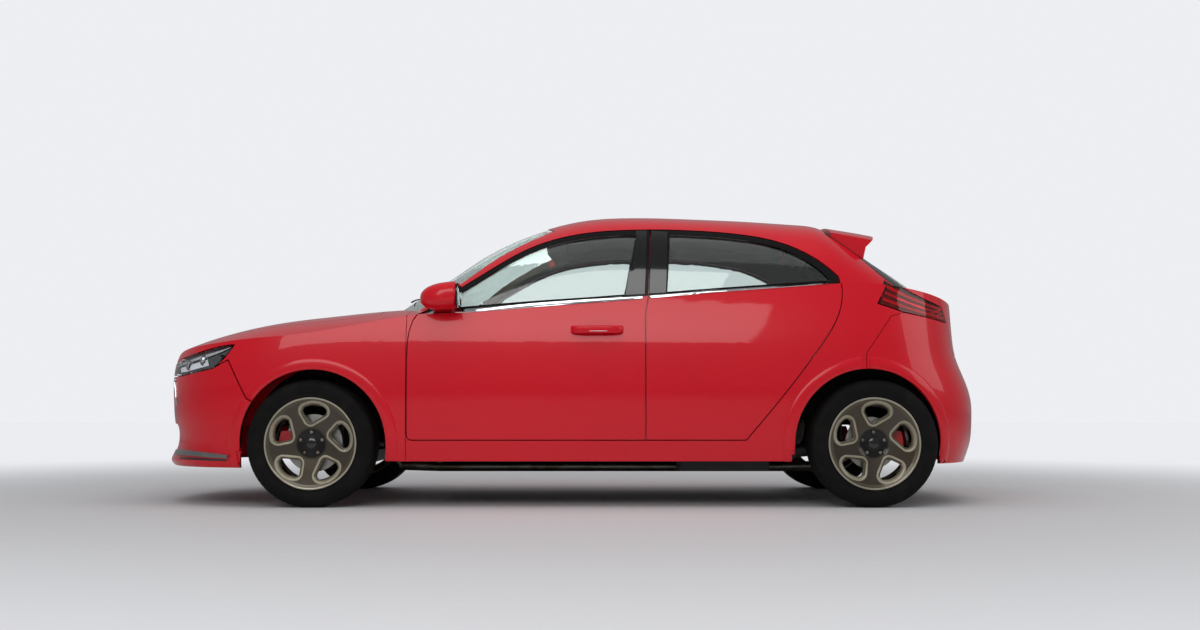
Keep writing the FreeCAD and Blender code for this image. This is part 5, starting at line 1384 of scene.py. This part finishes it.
# Trim of the flanks.
@dataclass
class FlankTrim:
    """The bright belt strips, the black centre pillar and the other small trim of one flank."""

    side: Side
    belt_low: list[tuple[float, float]] = field(default_factory=lambda: [
        (-690, 925), (-424, 940), (-190, 959), (95, 981), (383, 1004), (746, 1036), (1020, 1057),
        (1290, 1078)])
    belt_high: list[tuple[float, float]] = field(default_factory=lambda: [
        (-690, 944), (-424, 961), (-190, 980), (95, 1000), (383, 1019), (746, 1047), (1020, 1066),
        (1296, 1084)])
    door_gap_x: float = 374.0

    def _part(self, edge: list[tuple[float, float]], start: float, end: float) -> list[Any]:
        """The stretch of an edge between two X positions."""
        fine = [(point.x, point.z) for point in spline([(x, 0.0, z) for x, z in edge], 120)]
        return [point for point in fine if start <= point[0] <= end]

    def build(self) -> None:
        """Makes the pieces of this flank."""
        word = self.side.word
        doors = ((f"front_door_{word}", -688.0, self.door_gap_x - 3.5),
                 (f"rear_door_{word}", self.door_gap_x + 3.5, 1288.0))
        for node, start, end in doors:
            skin = Skin(node, node.replace("door", "door_glass"))
            edges = (self._part(self.belt_low, start, end), self._part(self.belt_high, start, end))
            mesh = laid_plate(f"belt_strip_{node}", skin, edges, self.side, 3.4, 3.0, 64, 4, 1.6)
            as_piece(mesh, "chrome", node)
        self._pillar()
        self._seals()

    def _pillar(self) -> None:
        """Lays the gloss black panels on the door frames' centre pillar."""
        word = self.side.word
        plates = ((f"front_door_{word}", [(278, 1022), (335, 1352)], [(371, 1026), (387, 1352)]),
                  (f"rear_door_{word}", [(378, 1028), (393, 1352)], [(474, 1034), (488, 1346)]))
        for node, first, second in plates:
            skin = Skin(node, node.replace("door", "door_glass"))
            mesh = laid_plate(f"pillar_panel_{node}", skin, (first, second), self.side, 1.6, 2.0,
                              30, 6)
            as_piece(mesh, "black_gloss", node)

    def _seals(self) -> None:
        """Lays the wiper seals along the foot of each window."""
        word = self.side.word
        runs = ((f"front_door_{word}", [(-546, 957), (-190, 984), (100, 1003), (272, 1016)]),
                (f"rear_door_{word}", [(482, 1029), (746, 1050), (1020, 1070), (1262, 1088)]))
        for node, line in runs:
            skin = Skin(node, node.replace("door", "door_glass"))
            high = [(x, z + 8) for x, z in line]
            mesh = laid_plate(f"window_seal_{node}", skin, (line, high), self.side, 2.4, 2.0, 48, 3)
            as_piece(mesh, "seal", node)


# Lamps.
def shares(under: Sequence[Any], over: Sequence[Any], low: float,
           high: float) -> tuple[list[Any], list[Any]]:
    """Two edges that lie at the given shares of the height between a lens's two edges.

    Args:
        under: The lens's lower edge, as X and Z points in millimetres.
        over: Its upper edge.
        low: The share at which the first edge lies.
        high: The share at which the second edge lies.

    Returns:
        The two edges.
    """
    first, second = (spline([(x, 0.0, z) for x, z in edge], 24) for edge in (under, over))
    pairs = [[(a.lerp(b, part).x, a.lerp(b, part).z) for a, b in zip(first, second)]
             for part in (low, high)]
    return pairs[0], pairs[1]


@dataclass
class Headlamp:
    """One headlamp's inside: a dark bowl, two projectors, their bright rings and a light guide."""

    side: Side
    outline: list[tuple[float, float]] = field(default_factory=lambda: [
        (-1985, 648), (-1915, 640), (-1800, 658), (-1722, 678), (-1672, 716), (-1638, 768)])
    upper: list[tuple[float, float]] = field(default_factory=lambda: [
        (-1990, 688), (-1915, 712), (-1800, 742), (-1722, 758), (-1672, 766), (-1640, 772)])
    depth_mm: float = 22.0

    def build(self) -> None:
        """Makes the lamp's pieces behind the lens."""
        skin = Skin("headlamps")
        word = self.side.word
        for name, low, high, proud, sunk, finish in (
                ("bezel", 0.0, 1.0, -self.depth_mm, self.depth_mm + 3, "black_gloss"),
                ("light_guide", 0.70, 0.86, -9.0, 13.0, "satin_chrome"),
                ("reflector_wing", 0.18, 0.55, -14.0, 18.0, "reflector")):
            edges = shares(self.outline, self.upper, low, high)
            if name == "reflector_wing":
                edges = (edges[0][3:15], edges[1][3:15])
            mesh = laid_plate(f"headlamp_{name}_{word}", skin, edges, self.side, proud, sunk, 40, 5)
            as_piece(mesh, finish, "body")
        for number, (x, z, radius) in enumerate(((-1868.0, 684.0, 24.0), (-1778.0, 706.0, 24.0))):
            self._projector(skin, number, x, z, radius)

    def _projector(self, skin: Skin, number: int, x: float, z: float, radius: float) -> None:
        """Turns one projector: a bright ring round a domed lens.

        Args:
            skin: The lens's surface.
            number: Which projector it is.
            x: Its middle along the car, in millimetres.
            z: Its height in millimetres.
            radius: Its radius in millimetres.
        """
        place, _ = skin.side(x, z, self.side)
        centre = (place.x, place.y - self.side.value * 0.016, place.z)
        word = self.side.word
        ring = [(radius * 0.82, -6.0), (radius * 1.05, -6.0), (radius * 1.08, 2.0),
                (radius, 5.0), (radius * 0.86, 3.0), (radius * 0.8, -2.0)]
        mesh = turned(f"headlamp_ring_{number}_{word}", ring, centre, 48, 30.0, self.side.value)
        as_piece(mesh, "satin_chrome", "body")
        dome = [(0.0, -6.0), (radius * 0.84, -6.0), (radius * 0.84, -1.0), (radius * 0.7, 3.5),
                (radius * 0.4, 6.0), (0.0, 7.0)]
        mesh = turned(f"headlamp_dome_{number}_{word}", dome, centre, 48, 30.0, self.side.value)
        as_piece(mesh, "reflector", "body")


@dataclass
class TailLamp:
    """One tail lamp's inside: a red back plate, two light bars and a bright strip."""

    side: Side
    low: list[tuple[float, float]] = field(default_factory=lambda: [
        (1520, 985), (1640, 948), (1760, 922), (1880, 904)])
    high: list[tuple[float, float]] = field(default_factory=lambda: [
        (1566, 1094), (1660, 1042), (1770, 1000), (1885, 975)])

    def build(self) -> None:
        """Makes the lamp's pieces behind the lens."""
        skin = Skin("tail_lamps")
        word = self.side.word
        for name, low, high, proud, sunk, finish in (
                ("back", 0.02, 0.98, -20.0, 23.0, "tail_back"),
                ("bar_low", 0.14, 0.26, -7.0, 12.0, "tail_bar"),
                ("bar_high", 0.70, 0.84, -7.0, 12.0, "tail_bar"),
                ("bar_middle", 0.44, 0.54, -9.0, 13.0, "reflector")):
            mesh = laid_plate(f"tail_lamp_{name}_{word}", skin,
                              shares(self.low, self.high, low, high), self.side, proud, sunk, 36,
                              4)
            as_piece(mesh, finish, "body")


# The cabin's front.
@dataclass
class SteeringWheel:
    """The pad and the switches on the CAD wheel's hub and spokes."""

    centre: Point = (-0.330, -0.370, 0.815)
    tilt_deg: float = 25.0

    def _out(self, sideways: float, rise: float, along: float) -> Vector:
        """A point near the wheel's plane.

        Args:
            sideways: How far to the right, in metres.
            rise: How far up in the plane.
            along: How far towards the driver.

        Returns:
            The point.
        """
        tilt = math.radians(self.tilt_deg)
        axis = Vector((math.cos(tilt), 0.0, math.sin(tilt)))
        up = Vector((-math.sin(tilt), 0.0, math.cos(tilt)))
        return Vector(self.centre) + Vector((0, 1, 0)) * sideways + up * rise + axis * along

    def build(self) -> None:
        """Makes the hub's plain pad and the switches beside it."""
        rings = []
        for width, height, along in ((0.150, 0.120, 0.010), (0.158, 0.128, 0.030),
                                     (0.146, 0.116, 0.046), (0.110, 0.085, 0.052)):
            rings.append([tuple(self._out(a, b, along)) for a, b in
                          rounded(width, height, min(width, height) * 0.42, 6)])
        mesh = rings_mesh("steering_wheel_pad", rings, False, 50.0)
        as_piece(mesh, "cabin_soft", "steering_wheel")
        for name, side in (("left", -1), ("right", 1)):
            rings = []
            for width, height, along in ((0.046, 0.030, 0.020), (0.046, 0.030, 0.036),
                                         (0.040, 0.024, 0.040)):
                rings.append([tuple(self._out(a + side * 0.105, b + 0.004, along)) for a, b in
                              rounded(width, height, 0.008, 4)])
            mesh = rings_mesh(f"steering_wheel_switches_{name}", rings, False, 40.0)
            as_piece(mesh, "black_gloss", "steering_wheel")


@dataclass
class Mirror:
    """One door mirror: a rounded housing on a curved foot, its dark surround and its glass."""

    side: Side
    inner_y: float = 0.778
    outer_y: float = 1.009
    rear_x: float = -0.522
    middle_z: float = 1.012
    half_height: float = 0.066
    # How far the shell reaches behind and ahead of its middle section, and how square it is.
    behind: tuple[float, float] = (0.052, 0.28)
    ahead: tuple[float, float] = (0.132, 0.86)
    foot: tuple[tuple[float, ...], ...] = ((-0.600, 0.752, 0.952, 0.118, 0.054),
                                           (-0.602, 0.790, 0.950, 0.112, 0.046),
                                           (-0.604, 0.824, 0.954, 0.104, 0.040),
                                           (-0.604, 0.850, 0.966, 0.100, 0.040),
                                           (-0.602, 0.868, 0.985, 0.096, 0.040))

    def build(self) -> None:
        """Makes the mirror's pieces."""
        sign, word = self.side.value, self.side.word
        body = f"front_door_{word}"
        for mesh in (self._housing(sign, word), self._foot(sign, word)):
            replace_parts(as_piece(mesh, "lacquer", body), f"mirror_{word}")
        middle = (self.inner_y + self.outer_y) / 2
        for name, width, height, front_x, finish in (
                ("surround", 0.214, 0.118, 0.003, "black_gloss"),
                ("glass", 0.190, 0.098, 0.0045, "mirror")):
            rings = []
            for share, place in ((1.0, -0.004), (1.0, front_x - 0.001), (0.97, front_x)):
                rings.append([(self.rear_x + place, sign * (middle + a * share),
                               self.middle_z + b * share)
                              for a, b in rounded(width, height, 0.040, 6)])
            mesh = rings_mesh(f"mirror_{name}_{word}", rings, False, 40.0)
            as_piece(mesh, finish, body)

    def _housing(self, sign: int, word: str) -> bpy.types.Mesh:
        """Lofts the shell outward over rounded sections that bulge forward.

        Args:
            sign: The side's sign.
            word: The side's name.

        Returns:
            The mesh.
        """
        rings = []
        stations, around, roundness, rake = 18, 40, 2.9, 0.10
        for station in range(stations + 1):
            share = math.sin(math.pi * (station / stations - 0.5)) * 0.995
            swell = (1 - abs(share) ** roundness) ** (1 / roundness)
            y = (self.inner_y + self.outer_y) / 2 + share * (self.outer_y - self.inner_y) / 2
            ring = []
            for step in range(around):
                angle = 2 * math.pi * step / around
                cosine, sine = math.cos(angle), math.sin(angle)
                reach, power = self.behind if cosine > 0 else self.ahead
                x = math.copysign(abs(cosine) ** power, cosine) * reach
                z = math.copysign(abs(sine) ** self.ahead[1], sine) * self.half_height
                if cosine > 0:
                    out = x * (0.35 + 0.65 * swell) + (1 - swell) * 0.018
                else:
                    out = x * swell ** 0.5 * (swell if cosine < 0 else 1.0)
                ring.append((self.rear_x - self.behind[0] + out, sign * y,
                             self.middle_z + z * swell + rake * x))
            rings.append(ring)
        return rings_mesh(f"mirror_housing_{word}", rings, False, 50.0)

    def _foot(self, sign: int, word: str) -> bpy.types.Mesh:
        """Lofts the foot from the door's corner up into the housing.

        Args:
            sign: The side's sign.
            word: The side's name.

        Returns:
            The mesh.
        """
        rings = [[(x + a, sign * y, z + b) for a, b in rounded(length, height, 0.0195, 6)]
                 for x, y, z, length, height in self.foot]
        return rings_mesh(f"mirror_foot_{word}", rings, False, 50.0)


@dataclass
class DoorHandle:
    """The front door's pull handle: a smooth bow over its grip, with a bright line on it."""

    side: Side
    skin_y: float = 0.882
    bow: tuple[tuple[float, float], ...] = ((0.024, -0.004), (0.040, 0.016), (0.075, 0.0235),
                                            (0.140, 0.026), (0.206, 0.0245), (0.242, 0.016),
                                            (0.258, -0.004))
    line: tuple[tuple[float, float], ...] = ((0.052, 0.0255), (0.090, 0.0335), (0.140, 0.036),
                                             (0.190, 0.035), (0.230, 0.0275))

    def build(self) -> None:
        """Makes the bow and its line."""
        sign, word = self.side.value, self.side.word
        for name, route, height, count, section, finish, slot in (
                ("door_handle", self.bow, 0.851, 40, rounded(22.0, 38.0, 9.5, 5), "lacquer",
                 "body_paint"),
                ("door_handle_line", self.line, 0.843, 30, rounded(3.0, 3.4, 1.3, 3), "chrome",
                 "gloss_black")):
            path = spline([(x, sign * (self.skin_y + out), height) for x, out in route], count)
            mesh = swept(f"{name}_{word}", path, section, Vector((0, 0, 1)))
            as_piece(mesh, finish, f"front_door_{word}")


@dataclass
class ArchFlares:
    """The raised lips round one side's wheel arches, broken at the bumpers' gaps."""

    side: Side
    proud_mm: float = 6.5
    front: tuple[float, float, float, float] = (-1225.0, 306.0, 355.5, 412.0)
    rear: tuple[float, float, float, float] = (1446.0, 306.0, 359.5, 416.0)

    def build(self) -> None:
        """Makes each stretch on the panel that carries it."""
        word = self.side.word
        for name, node, arch, start, end in (
                ("front_bumper", "front_bumper", self.front, 197.0, 148.5),
                ("wing", "front_wings", self.front, 143.0, -12.0),
                ("quarter", f"body_side_{word}", self.rear, 193.0, 95.5),
                ("rear_bumper", "rear_bumper", self.rear, 91.5, -17.0)):
            centre_x, centre_z, inner, outer = arch
            turns = [math.radians(start + (end - start) * t / 47) for t in range(48)]
            edges = tuple([(centre_x + radius * math.cos(turn), centre_z + radius * math.sin(turn))
                           for turn in turns] for radius in (inner, outer))
            self._strip(f"arch_flare_{name}_{word}", Skin(node), edges)

    def _strip(self, name: str, skin: Skin, edges: tuple[Sequence[Any], Sequence[Any]]) -> None:
        """Lays one stretch: proud at the arch, and feathered into the panel at its outer edge.

        Args:
            name: The piece's name.
            skin: The panel.
            edges: The arch's edge and the outer edge, in millimetres.
        """
        heights = (self.proud_mm * 0.8, self.proud_mm, self.proud_mm, self.proud_mm * 0.93,
                   self.proud_mm * 0.75, self.proud_mm * 0.4, -0.3)
        across = (0.0, 0.03, 0.35, 0.6, 0.8, 0.93, 1.0)
        rings = []
        for (low_x, low_z), (high_x, high_z) in zip(*edges):
            front, back = [], []
            for share, height in zip(across, heights):
                place, normal = skin.side(low_x + (high_x - low_x) * share,
                                          low_z + (high_z - low_z) * share, self.side)
                front.append(tuple(place + normal * (height / 1000)))
                back.append(tuple(place - normal * 0.0015))
            rings.append(front + back[::-1])
        as_piece(rings_mesh(name, rings, False, 50.0), "flare", "body")


@dataclass
class Nose:
    """One side of the front bumper: its grey blade, the slot under it and the bright bar."""

    side: Side
    blade: tuple[list[tuple[float, float]], ...] = field(default_factory=lambda: (
        [(-1965, 240), (-1868, 240), (-1740, 236), (-1640, 233)],
        [(-1955, 268), (-1868, 266), (-1740, 258), (-1642, 249)]))
    slot: tuple[list[tuple[float, float]], ...] = field(default_factory=lambda: (
        [(-1930, 222), (-1868, 222), (-1740, 220), (-1650, 219)],
        [(-1930, 232), (-1868, 232), (-1740, 229), (-1650, 227)]))
    bar: tuple[tuple[float, float], ...] = ((0.520, 0.655), (0.528, 0.615), (0.536, 0.570),
                                            (0.548, 0.525), (0.565, 0.490))

    def build(self) -> None:
        """Makes one side's pieces."""
        word, sign = self.side.word, self.side.value
        skin = Skin("front_bumper")
        mesh = laid_plate(f"bumper_blade_{word}", skin, self.blade, self.side, 11.0, 3.0, 40, 4,
                          2.0)
        as_piece(mesh, "blade_grey", "body")
        mesh = laid_plate(f"bumper_slot_{word}", skin, self.slot, self.side, 1.2, 2.0, 32, 3)
        as_piece(mesh, "black_gloss", "body")
        path = []
        for y, z in self.bar:
            place, normal = skin.hit((-2.4, sign * y, z), (1, 0, 0))
            path.append(place + normal * 0.002)
        mesh = swept(f"nose_bar_{word}", spline(path, 28), rounded(13.0, 9.0, 3.0, 4),
                     Vector((-1, 0, 0)))
        as_piece(mesh, "chrome", "body")


# Upholstery.
@dataclass
class Pad:
    """One seat pad: a rounded block with raised bolsters, filled, and seamed where they start."""

    name: str
    outline: list[tuple[float, float, float]]
    middle_y: float
    width: float
    bolster: float = 10.0
    voxel_mm: float = 12.0
    cap_mm: float = 12.0
    seams: tuple[float, ...] = (-0.56, 0.56)
    stations: int = 24
    # The cover starts this much smaller than the pad, and its ends are rounded by this radius.
    inset: float = 9.0
    end_radius: float = 30.0

    def build(self) -> bpy.types.Object:
        """Makes the pad and its seams.

        Returns:
            The pad.
        """
        rings = []
        for station in range(self.stations + 1):
            share = math.sin(math.pi * (station / self.stations - 0.5)) * 0.998
            edge = max(abs(share) - 0.80, 0.0) / 0.2
            round_off = self.end_radius * (1 - math.sqrt(max(1 - edge * edge, 0.0)))
            rise = min(max((abs(share) - 0.52) / 0.12, 0.0), 1.0)
            grow = self.bolster * (rise * rise * (3 - 2 * rise)) - self.inset - round_off
            y = self._across(share)
            rings.append([(x / 1000, y / 1000, z / 1000)
                          for x, z in rounded_polygon(self.outline, grow, 6)])
        mesh = puffed(rings_mesh(self.name, rings, False, 60.0), self.voxel_mm, self.cap_mm)
        piece = as_piece(mesh, "seat_cloth", "body", self.name)
        for number, share in enumerate(self.seams):
            self._seam(piece, number, self._across(share))
        return piece

    def _across(self, share: float) -> float:
        """The Y in millimetres at a share of the pad's half width, 6 mm short of its end."""
        return self.middle_y + share * (self.width / 2 - 6.0)

    def _seam(self, pad: bpy.types.Object, number: int, y: float) -> None:
        """Lays one piped seam round the pad, half sunk in its cover.

        Args:
            pad: The pad.
            number: Which seam it is.
            y: Where it runs, in millimetres.
        """
        tree = BVHTree.FromPolygons([vertex.co for vertex in pad.data.vertices],
                                    [tuple(face.vertices) for face in pad.data.polygons])
        middle_x = sum(x for x, _, _ in self.outline) / len(self.outline)
        middle_z = sum(z for _, z, _ in self.outline) / len(self.outline)
        path = []
        for x, z in rounded_polygon(self.outline, 60.0, 6):
            start = Vector((x, y, z)) / 1000
            way = Vector((middle_x - x, 0.0, middle_z - z)).normalized()
            place, _, _, _ = tree.ray_cast(start, way)
            if place is not None:
                path.append(place)
        fine = spline(path + path[:1], 120)[:-1]
        mesh = swept(f"{self.name}_seam_{number}", fine, rounded(4.0, 4.0, 1.9, 2),
                     Vector((0, 1, 0)), True)
        as_piece(mesh, "leather", "body")


@dataclass
class Seats:
    """The front seats and the rear bench, upholstered over their frames."""

    front_x: float = -150.0
    front_y: float = 372.0

    def build(self) -> None:
        """Makes every pad and what carries it."""
        carried: list[tuple[str, bpy.types.Object]] = []
        x = self.front_x
        for side in Side:
            y = side.value * self.front_y
            word = side.word
            for name, outline, width, bolster in (
                    ("cushion", [(x, 330, 30), (x + 520, 330, 30), (x + 420, 425, 20),
                                 (x, 455, 50)], 500.0, 12.0),
                    ("back", [(x + 400, 400, 30), (x + 540, 330, 40), (x + 600, 600, 60),
                              (x + 612, 870, 40), (x + 512, 850, 45)], 480.0, 12.0),
                    ("headrest", [(x + 535, 890, 30), (x + 630, 890, 30), (x + 632, 1010, 35),
                                  (x + 548, 1010, 35)], 250.0, 0.0)):
                small = name == "headrest"
                pad = Pad(f"front_{name}_{word}", outline, y, width, bolster,
                          10.0 if small else 12.0, 9.0 if small else 12.0,
                          () if small else (-0.56, 0.56))
                carried.append(("front_seats", pad.build()))
            carried += [("front_seats", self._post(f"front_post_{word}_{number}", x + 565,
                                                   y + across, 840, x + 578, 920))
                        for number, across in enumerate((-60.0, 60.0))]
            carried += [("front_seats", self._runner(f"front_runner_{word}_{number}", x,
                                                     y + across))
                        for number, across in enumerate((-190.0, 190.0))]
        pads = [Pad("rear_cushion", [(800, 240, 10), (1180, 292, 20), (1200, 430, 30),
                                     (790, 455, 60)], 0.0, 1220.0, 8.0, 13.0, 12.0,
                    (-0.62, -0.12, 0.12, 0.62)),
                Pad("rear_back", [(1150, 484, 20), (1325, 484, 20), (1330, 920, 36),
                                  (1238, 900, 40)], 0.0, 1220.0, 8.0, 13.0, 12.0,
                    (-0.62, -0.12, 0.12, 0.62))]
        for number, y in enumerate((-400.0, 0.0, 400.0)):
            pads.append(Pad(f"rear_headrest_{number}", [(1245, 935, 30), (1335, 935, 30),
                                                        (1335, 1045, 35), (1258, 1045, 35)],
                            y, 240.0, 0.0, 10.0, 9.0, ()))
            carried += [("rear_bench", self._post(f"rear_post_{number}_{place}", 1282, y + across,
                                                  880, 1290, 960))
                        for place, across in enumerate((-60.0, 60.0))]
        carried += [("rear_bench", pad.build()) for pad in pads]
        for node, piece in carried:
            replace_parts(piece, node)

    @staticmethod
    def _post(name: str, low_x: float, y: float, low_z: float, high_x: float,
              high_z: float) -> bpy.types.Object:
        """Makes one of a headrest's bright posts, with its ends given in millimetres.

        Args:
            name: The piece's name.
            low_x: Its foot along the car.
            y: Its place across the car.
            low_z: Its foot's height.
            high_x: Its top along the car.
            high_z: Its top's height.

        Returns:
            The post.
        """
        radius = 6.5
        path = [Vector((low_x, y, low_z)) / 1000, Vector((high_x, y, high_z)) / 1000]
        section = [(radius * math.cos(math.pi * step / 8), radius * math.sin(math.pi * step / 8))
                   for step in range(16)]
        mesh = swept(name, path, section, Vector((0, 1, 0)))
        return as_piece(mesh, "satin_chrome", "body")

    @staticmethod
    def _runner(name: str, x: float, y: float) -> bpy.types.Object:
        """Makes one of a seat's floor runners, of a rolled I-shaped section.

        Args:
            name: The piece's name.
            x: The front of the seat's cushion, in millimetres.
            y: Its place across the car.

        Returns:
            The runner.
        """
        path = [Vector((x + 40, y, 284)) / 1000, Vector((x + 480, y, 284)) / 1000]
        section = [(-19, -48), (19, -48), (19, -40), (10, -36), (10, 30), (17, 38), (17, 48),
                   (-17, 48), (-17, 38), (-10, 30), (-10, -36), (-19, -40)]
        mesh = swept(name, path, section, Vector((0, 0, 1)))
        return as_piece(mesh, "chassis", "body")


@dataclass
class Instruments:
    """What lies on the dashboard: cluster and dials, display, panel, vents and glovebox lid."""

    # Each plate's name, middle Y and Z, width, height, corner radius, rise in mm and finish.
    plates: tuple[tuple[Any, ...], ...] = (
        ("cluster", -0.370, 0.862, 0.290, 0.090, 0.040, 3.0, "black_gloss"),
        ("display", 0.0, 0.822, 0.225, 0.120, 0.014, 5.0, "black_gloss"),
        ("climate_panel", 0.0, 0.705, 0.225, 0.064, 0.012, 4.0, "black_gloss"),
        ("vent_left", -0.625, 0.820, 0.120, 0.062, 0.022, 4.0, "black_grained"),
        ("vent_right", 0.625, 0.820, 0.120, 0.062, 0.022, 4.0, "black_grained"),
        ("glovebox_lid", 0.390, 0.690, 0.400, 0.150, 0.026, 3.0, "cabin_soft"))
    dials: tuple[tuple[float, float], ...] = ((-0.430, 0.864), (-0.310, 0.864))
    dial: tuple[tuple[float, float], ...] = ((0.036, 0.002), (0.036, 0.007), (0.033, 0.0085),
                                             (0.031, 0.006))
    # The lines that find the dashboard's face start here and run forward.
    start_x: float = 0.4

    def build(self) -> None:
        """Lays each plate and each dial's ring on the dashboard's face."""
        skin = Skin("dashboard")
        for name, y, z, width, height, corner, proud, finish in self.plates:
            outline = [(y + a, z + b) for a, b in rounded(width, height, corner, 5)]
            mesh = faced(f"dashboard_{name}", skin, outline, self.start_x, -1, proud, 4.0)
            as_piece(mesh, finish, "body")
        for number, (y, z) in enumerate(self.dials):
            place, _ = skin.hit((self.start_x, y, z), (-1, 0, 0))
            rings = [[(place.x + along, y + radius * math.cos(math.pi * step / 24),
                       z + radius * math.sin(math.pi * step / 24)) for step in range(48)]
                     for radius, along in self.dial]
            mesh = rings_mesh(f"dial_ring_{number}", rings, False, 30.0)
            as_piece(mesh, "satin_chrome", "body")


@dataclass
class Wipers:
    """The two windscreen wipers at rest along the foot of the screen."""

    arms: list[tuple[Point, Point, Point, Point]] = field(default_factory=lambda: [
        ((-0.86, -0.52, 0.0), (-0.80, -0.12, 0.0), (-0.74, -0.42, 0.0), (-0.79, 0.16, 0.0)),
        ((-0.88, 0.06, 0.0), (-0.79, 0.36, 0.0), (-0.74, 0.12, 0.0), (-0.78, 0.58, 0.0))])

    def build(self) -> None:
        """Lays each arm and blade on the glass."""
        skin = Skin("windscreen", "bonnet")
        for number, (root, tip, start, end) in enumerate(self.arms):
            arm = [self._down(skin, root, 0.016), self._down(skin, root, 0.018).lerp(
                self._down(skin, tip, 0.018), 0.5), self._down(skin, tip, 0.015)]
            mesh = swept(f"wiper_arm_{number}", spline(arm, 16), rounded(10.0, 6.0, 2.0),
                         Vector((0, 0, 1)))
            as_piece(mesh, "black_grained", "body")
            blade = [self._down(skin, tuple(Vector(start).lerp(Vector(end), part)), 0.006)
                     for part in (0.0, 0.25, 0.5, 0.75, 1.0)]
            section = [(-1.0, -5.5), (1.0, -5.5), (3.5, -1.0), (7.0, 0.5), (2.0, 5.0), (-5.0, 3.0),
                       (-7.0, 0.0), (-3.0, -1.0)]
            mesh = swept(f"wiper_blade_{number}", spline(blade, 28), section, Vector((0, 0, 1)))
            as_piece(mesh, "seal", "body")

    @staticmethod
    def _down(skin: Skin, point: Point, gap: float) -> Vector:
        """The point above the glass at a plan position."""
        place, normal = skin.hit((point[0], point[1], 1.6), (0, 0, -1))
        return place + normal * gap


def main() -> None:
    """Builds the stage, dresses the car and reports each piece."""
    logging.basicConfig(level=logging.INFO, format="%(message)s")
    Studio().build()
    Shell().dress()
    for side in Side:
        Wheel("front", side, FRONT_AXLE_X).build()
        Wheel("rear", side, REAR_AXLE_X).build()
        FlankTrim(side).build()
        Headlamp(side).build()
        TailLamp(side).build()
        Mirror(side).build()
        DoorHandle(side).build()
        ArchFlares(side).build()
        Nose(side).build()
    SteeringWheel().build()
    Wipers().build()
    Seats().build()
    Instruments().build()


if __name__ == "__main__":
    main()
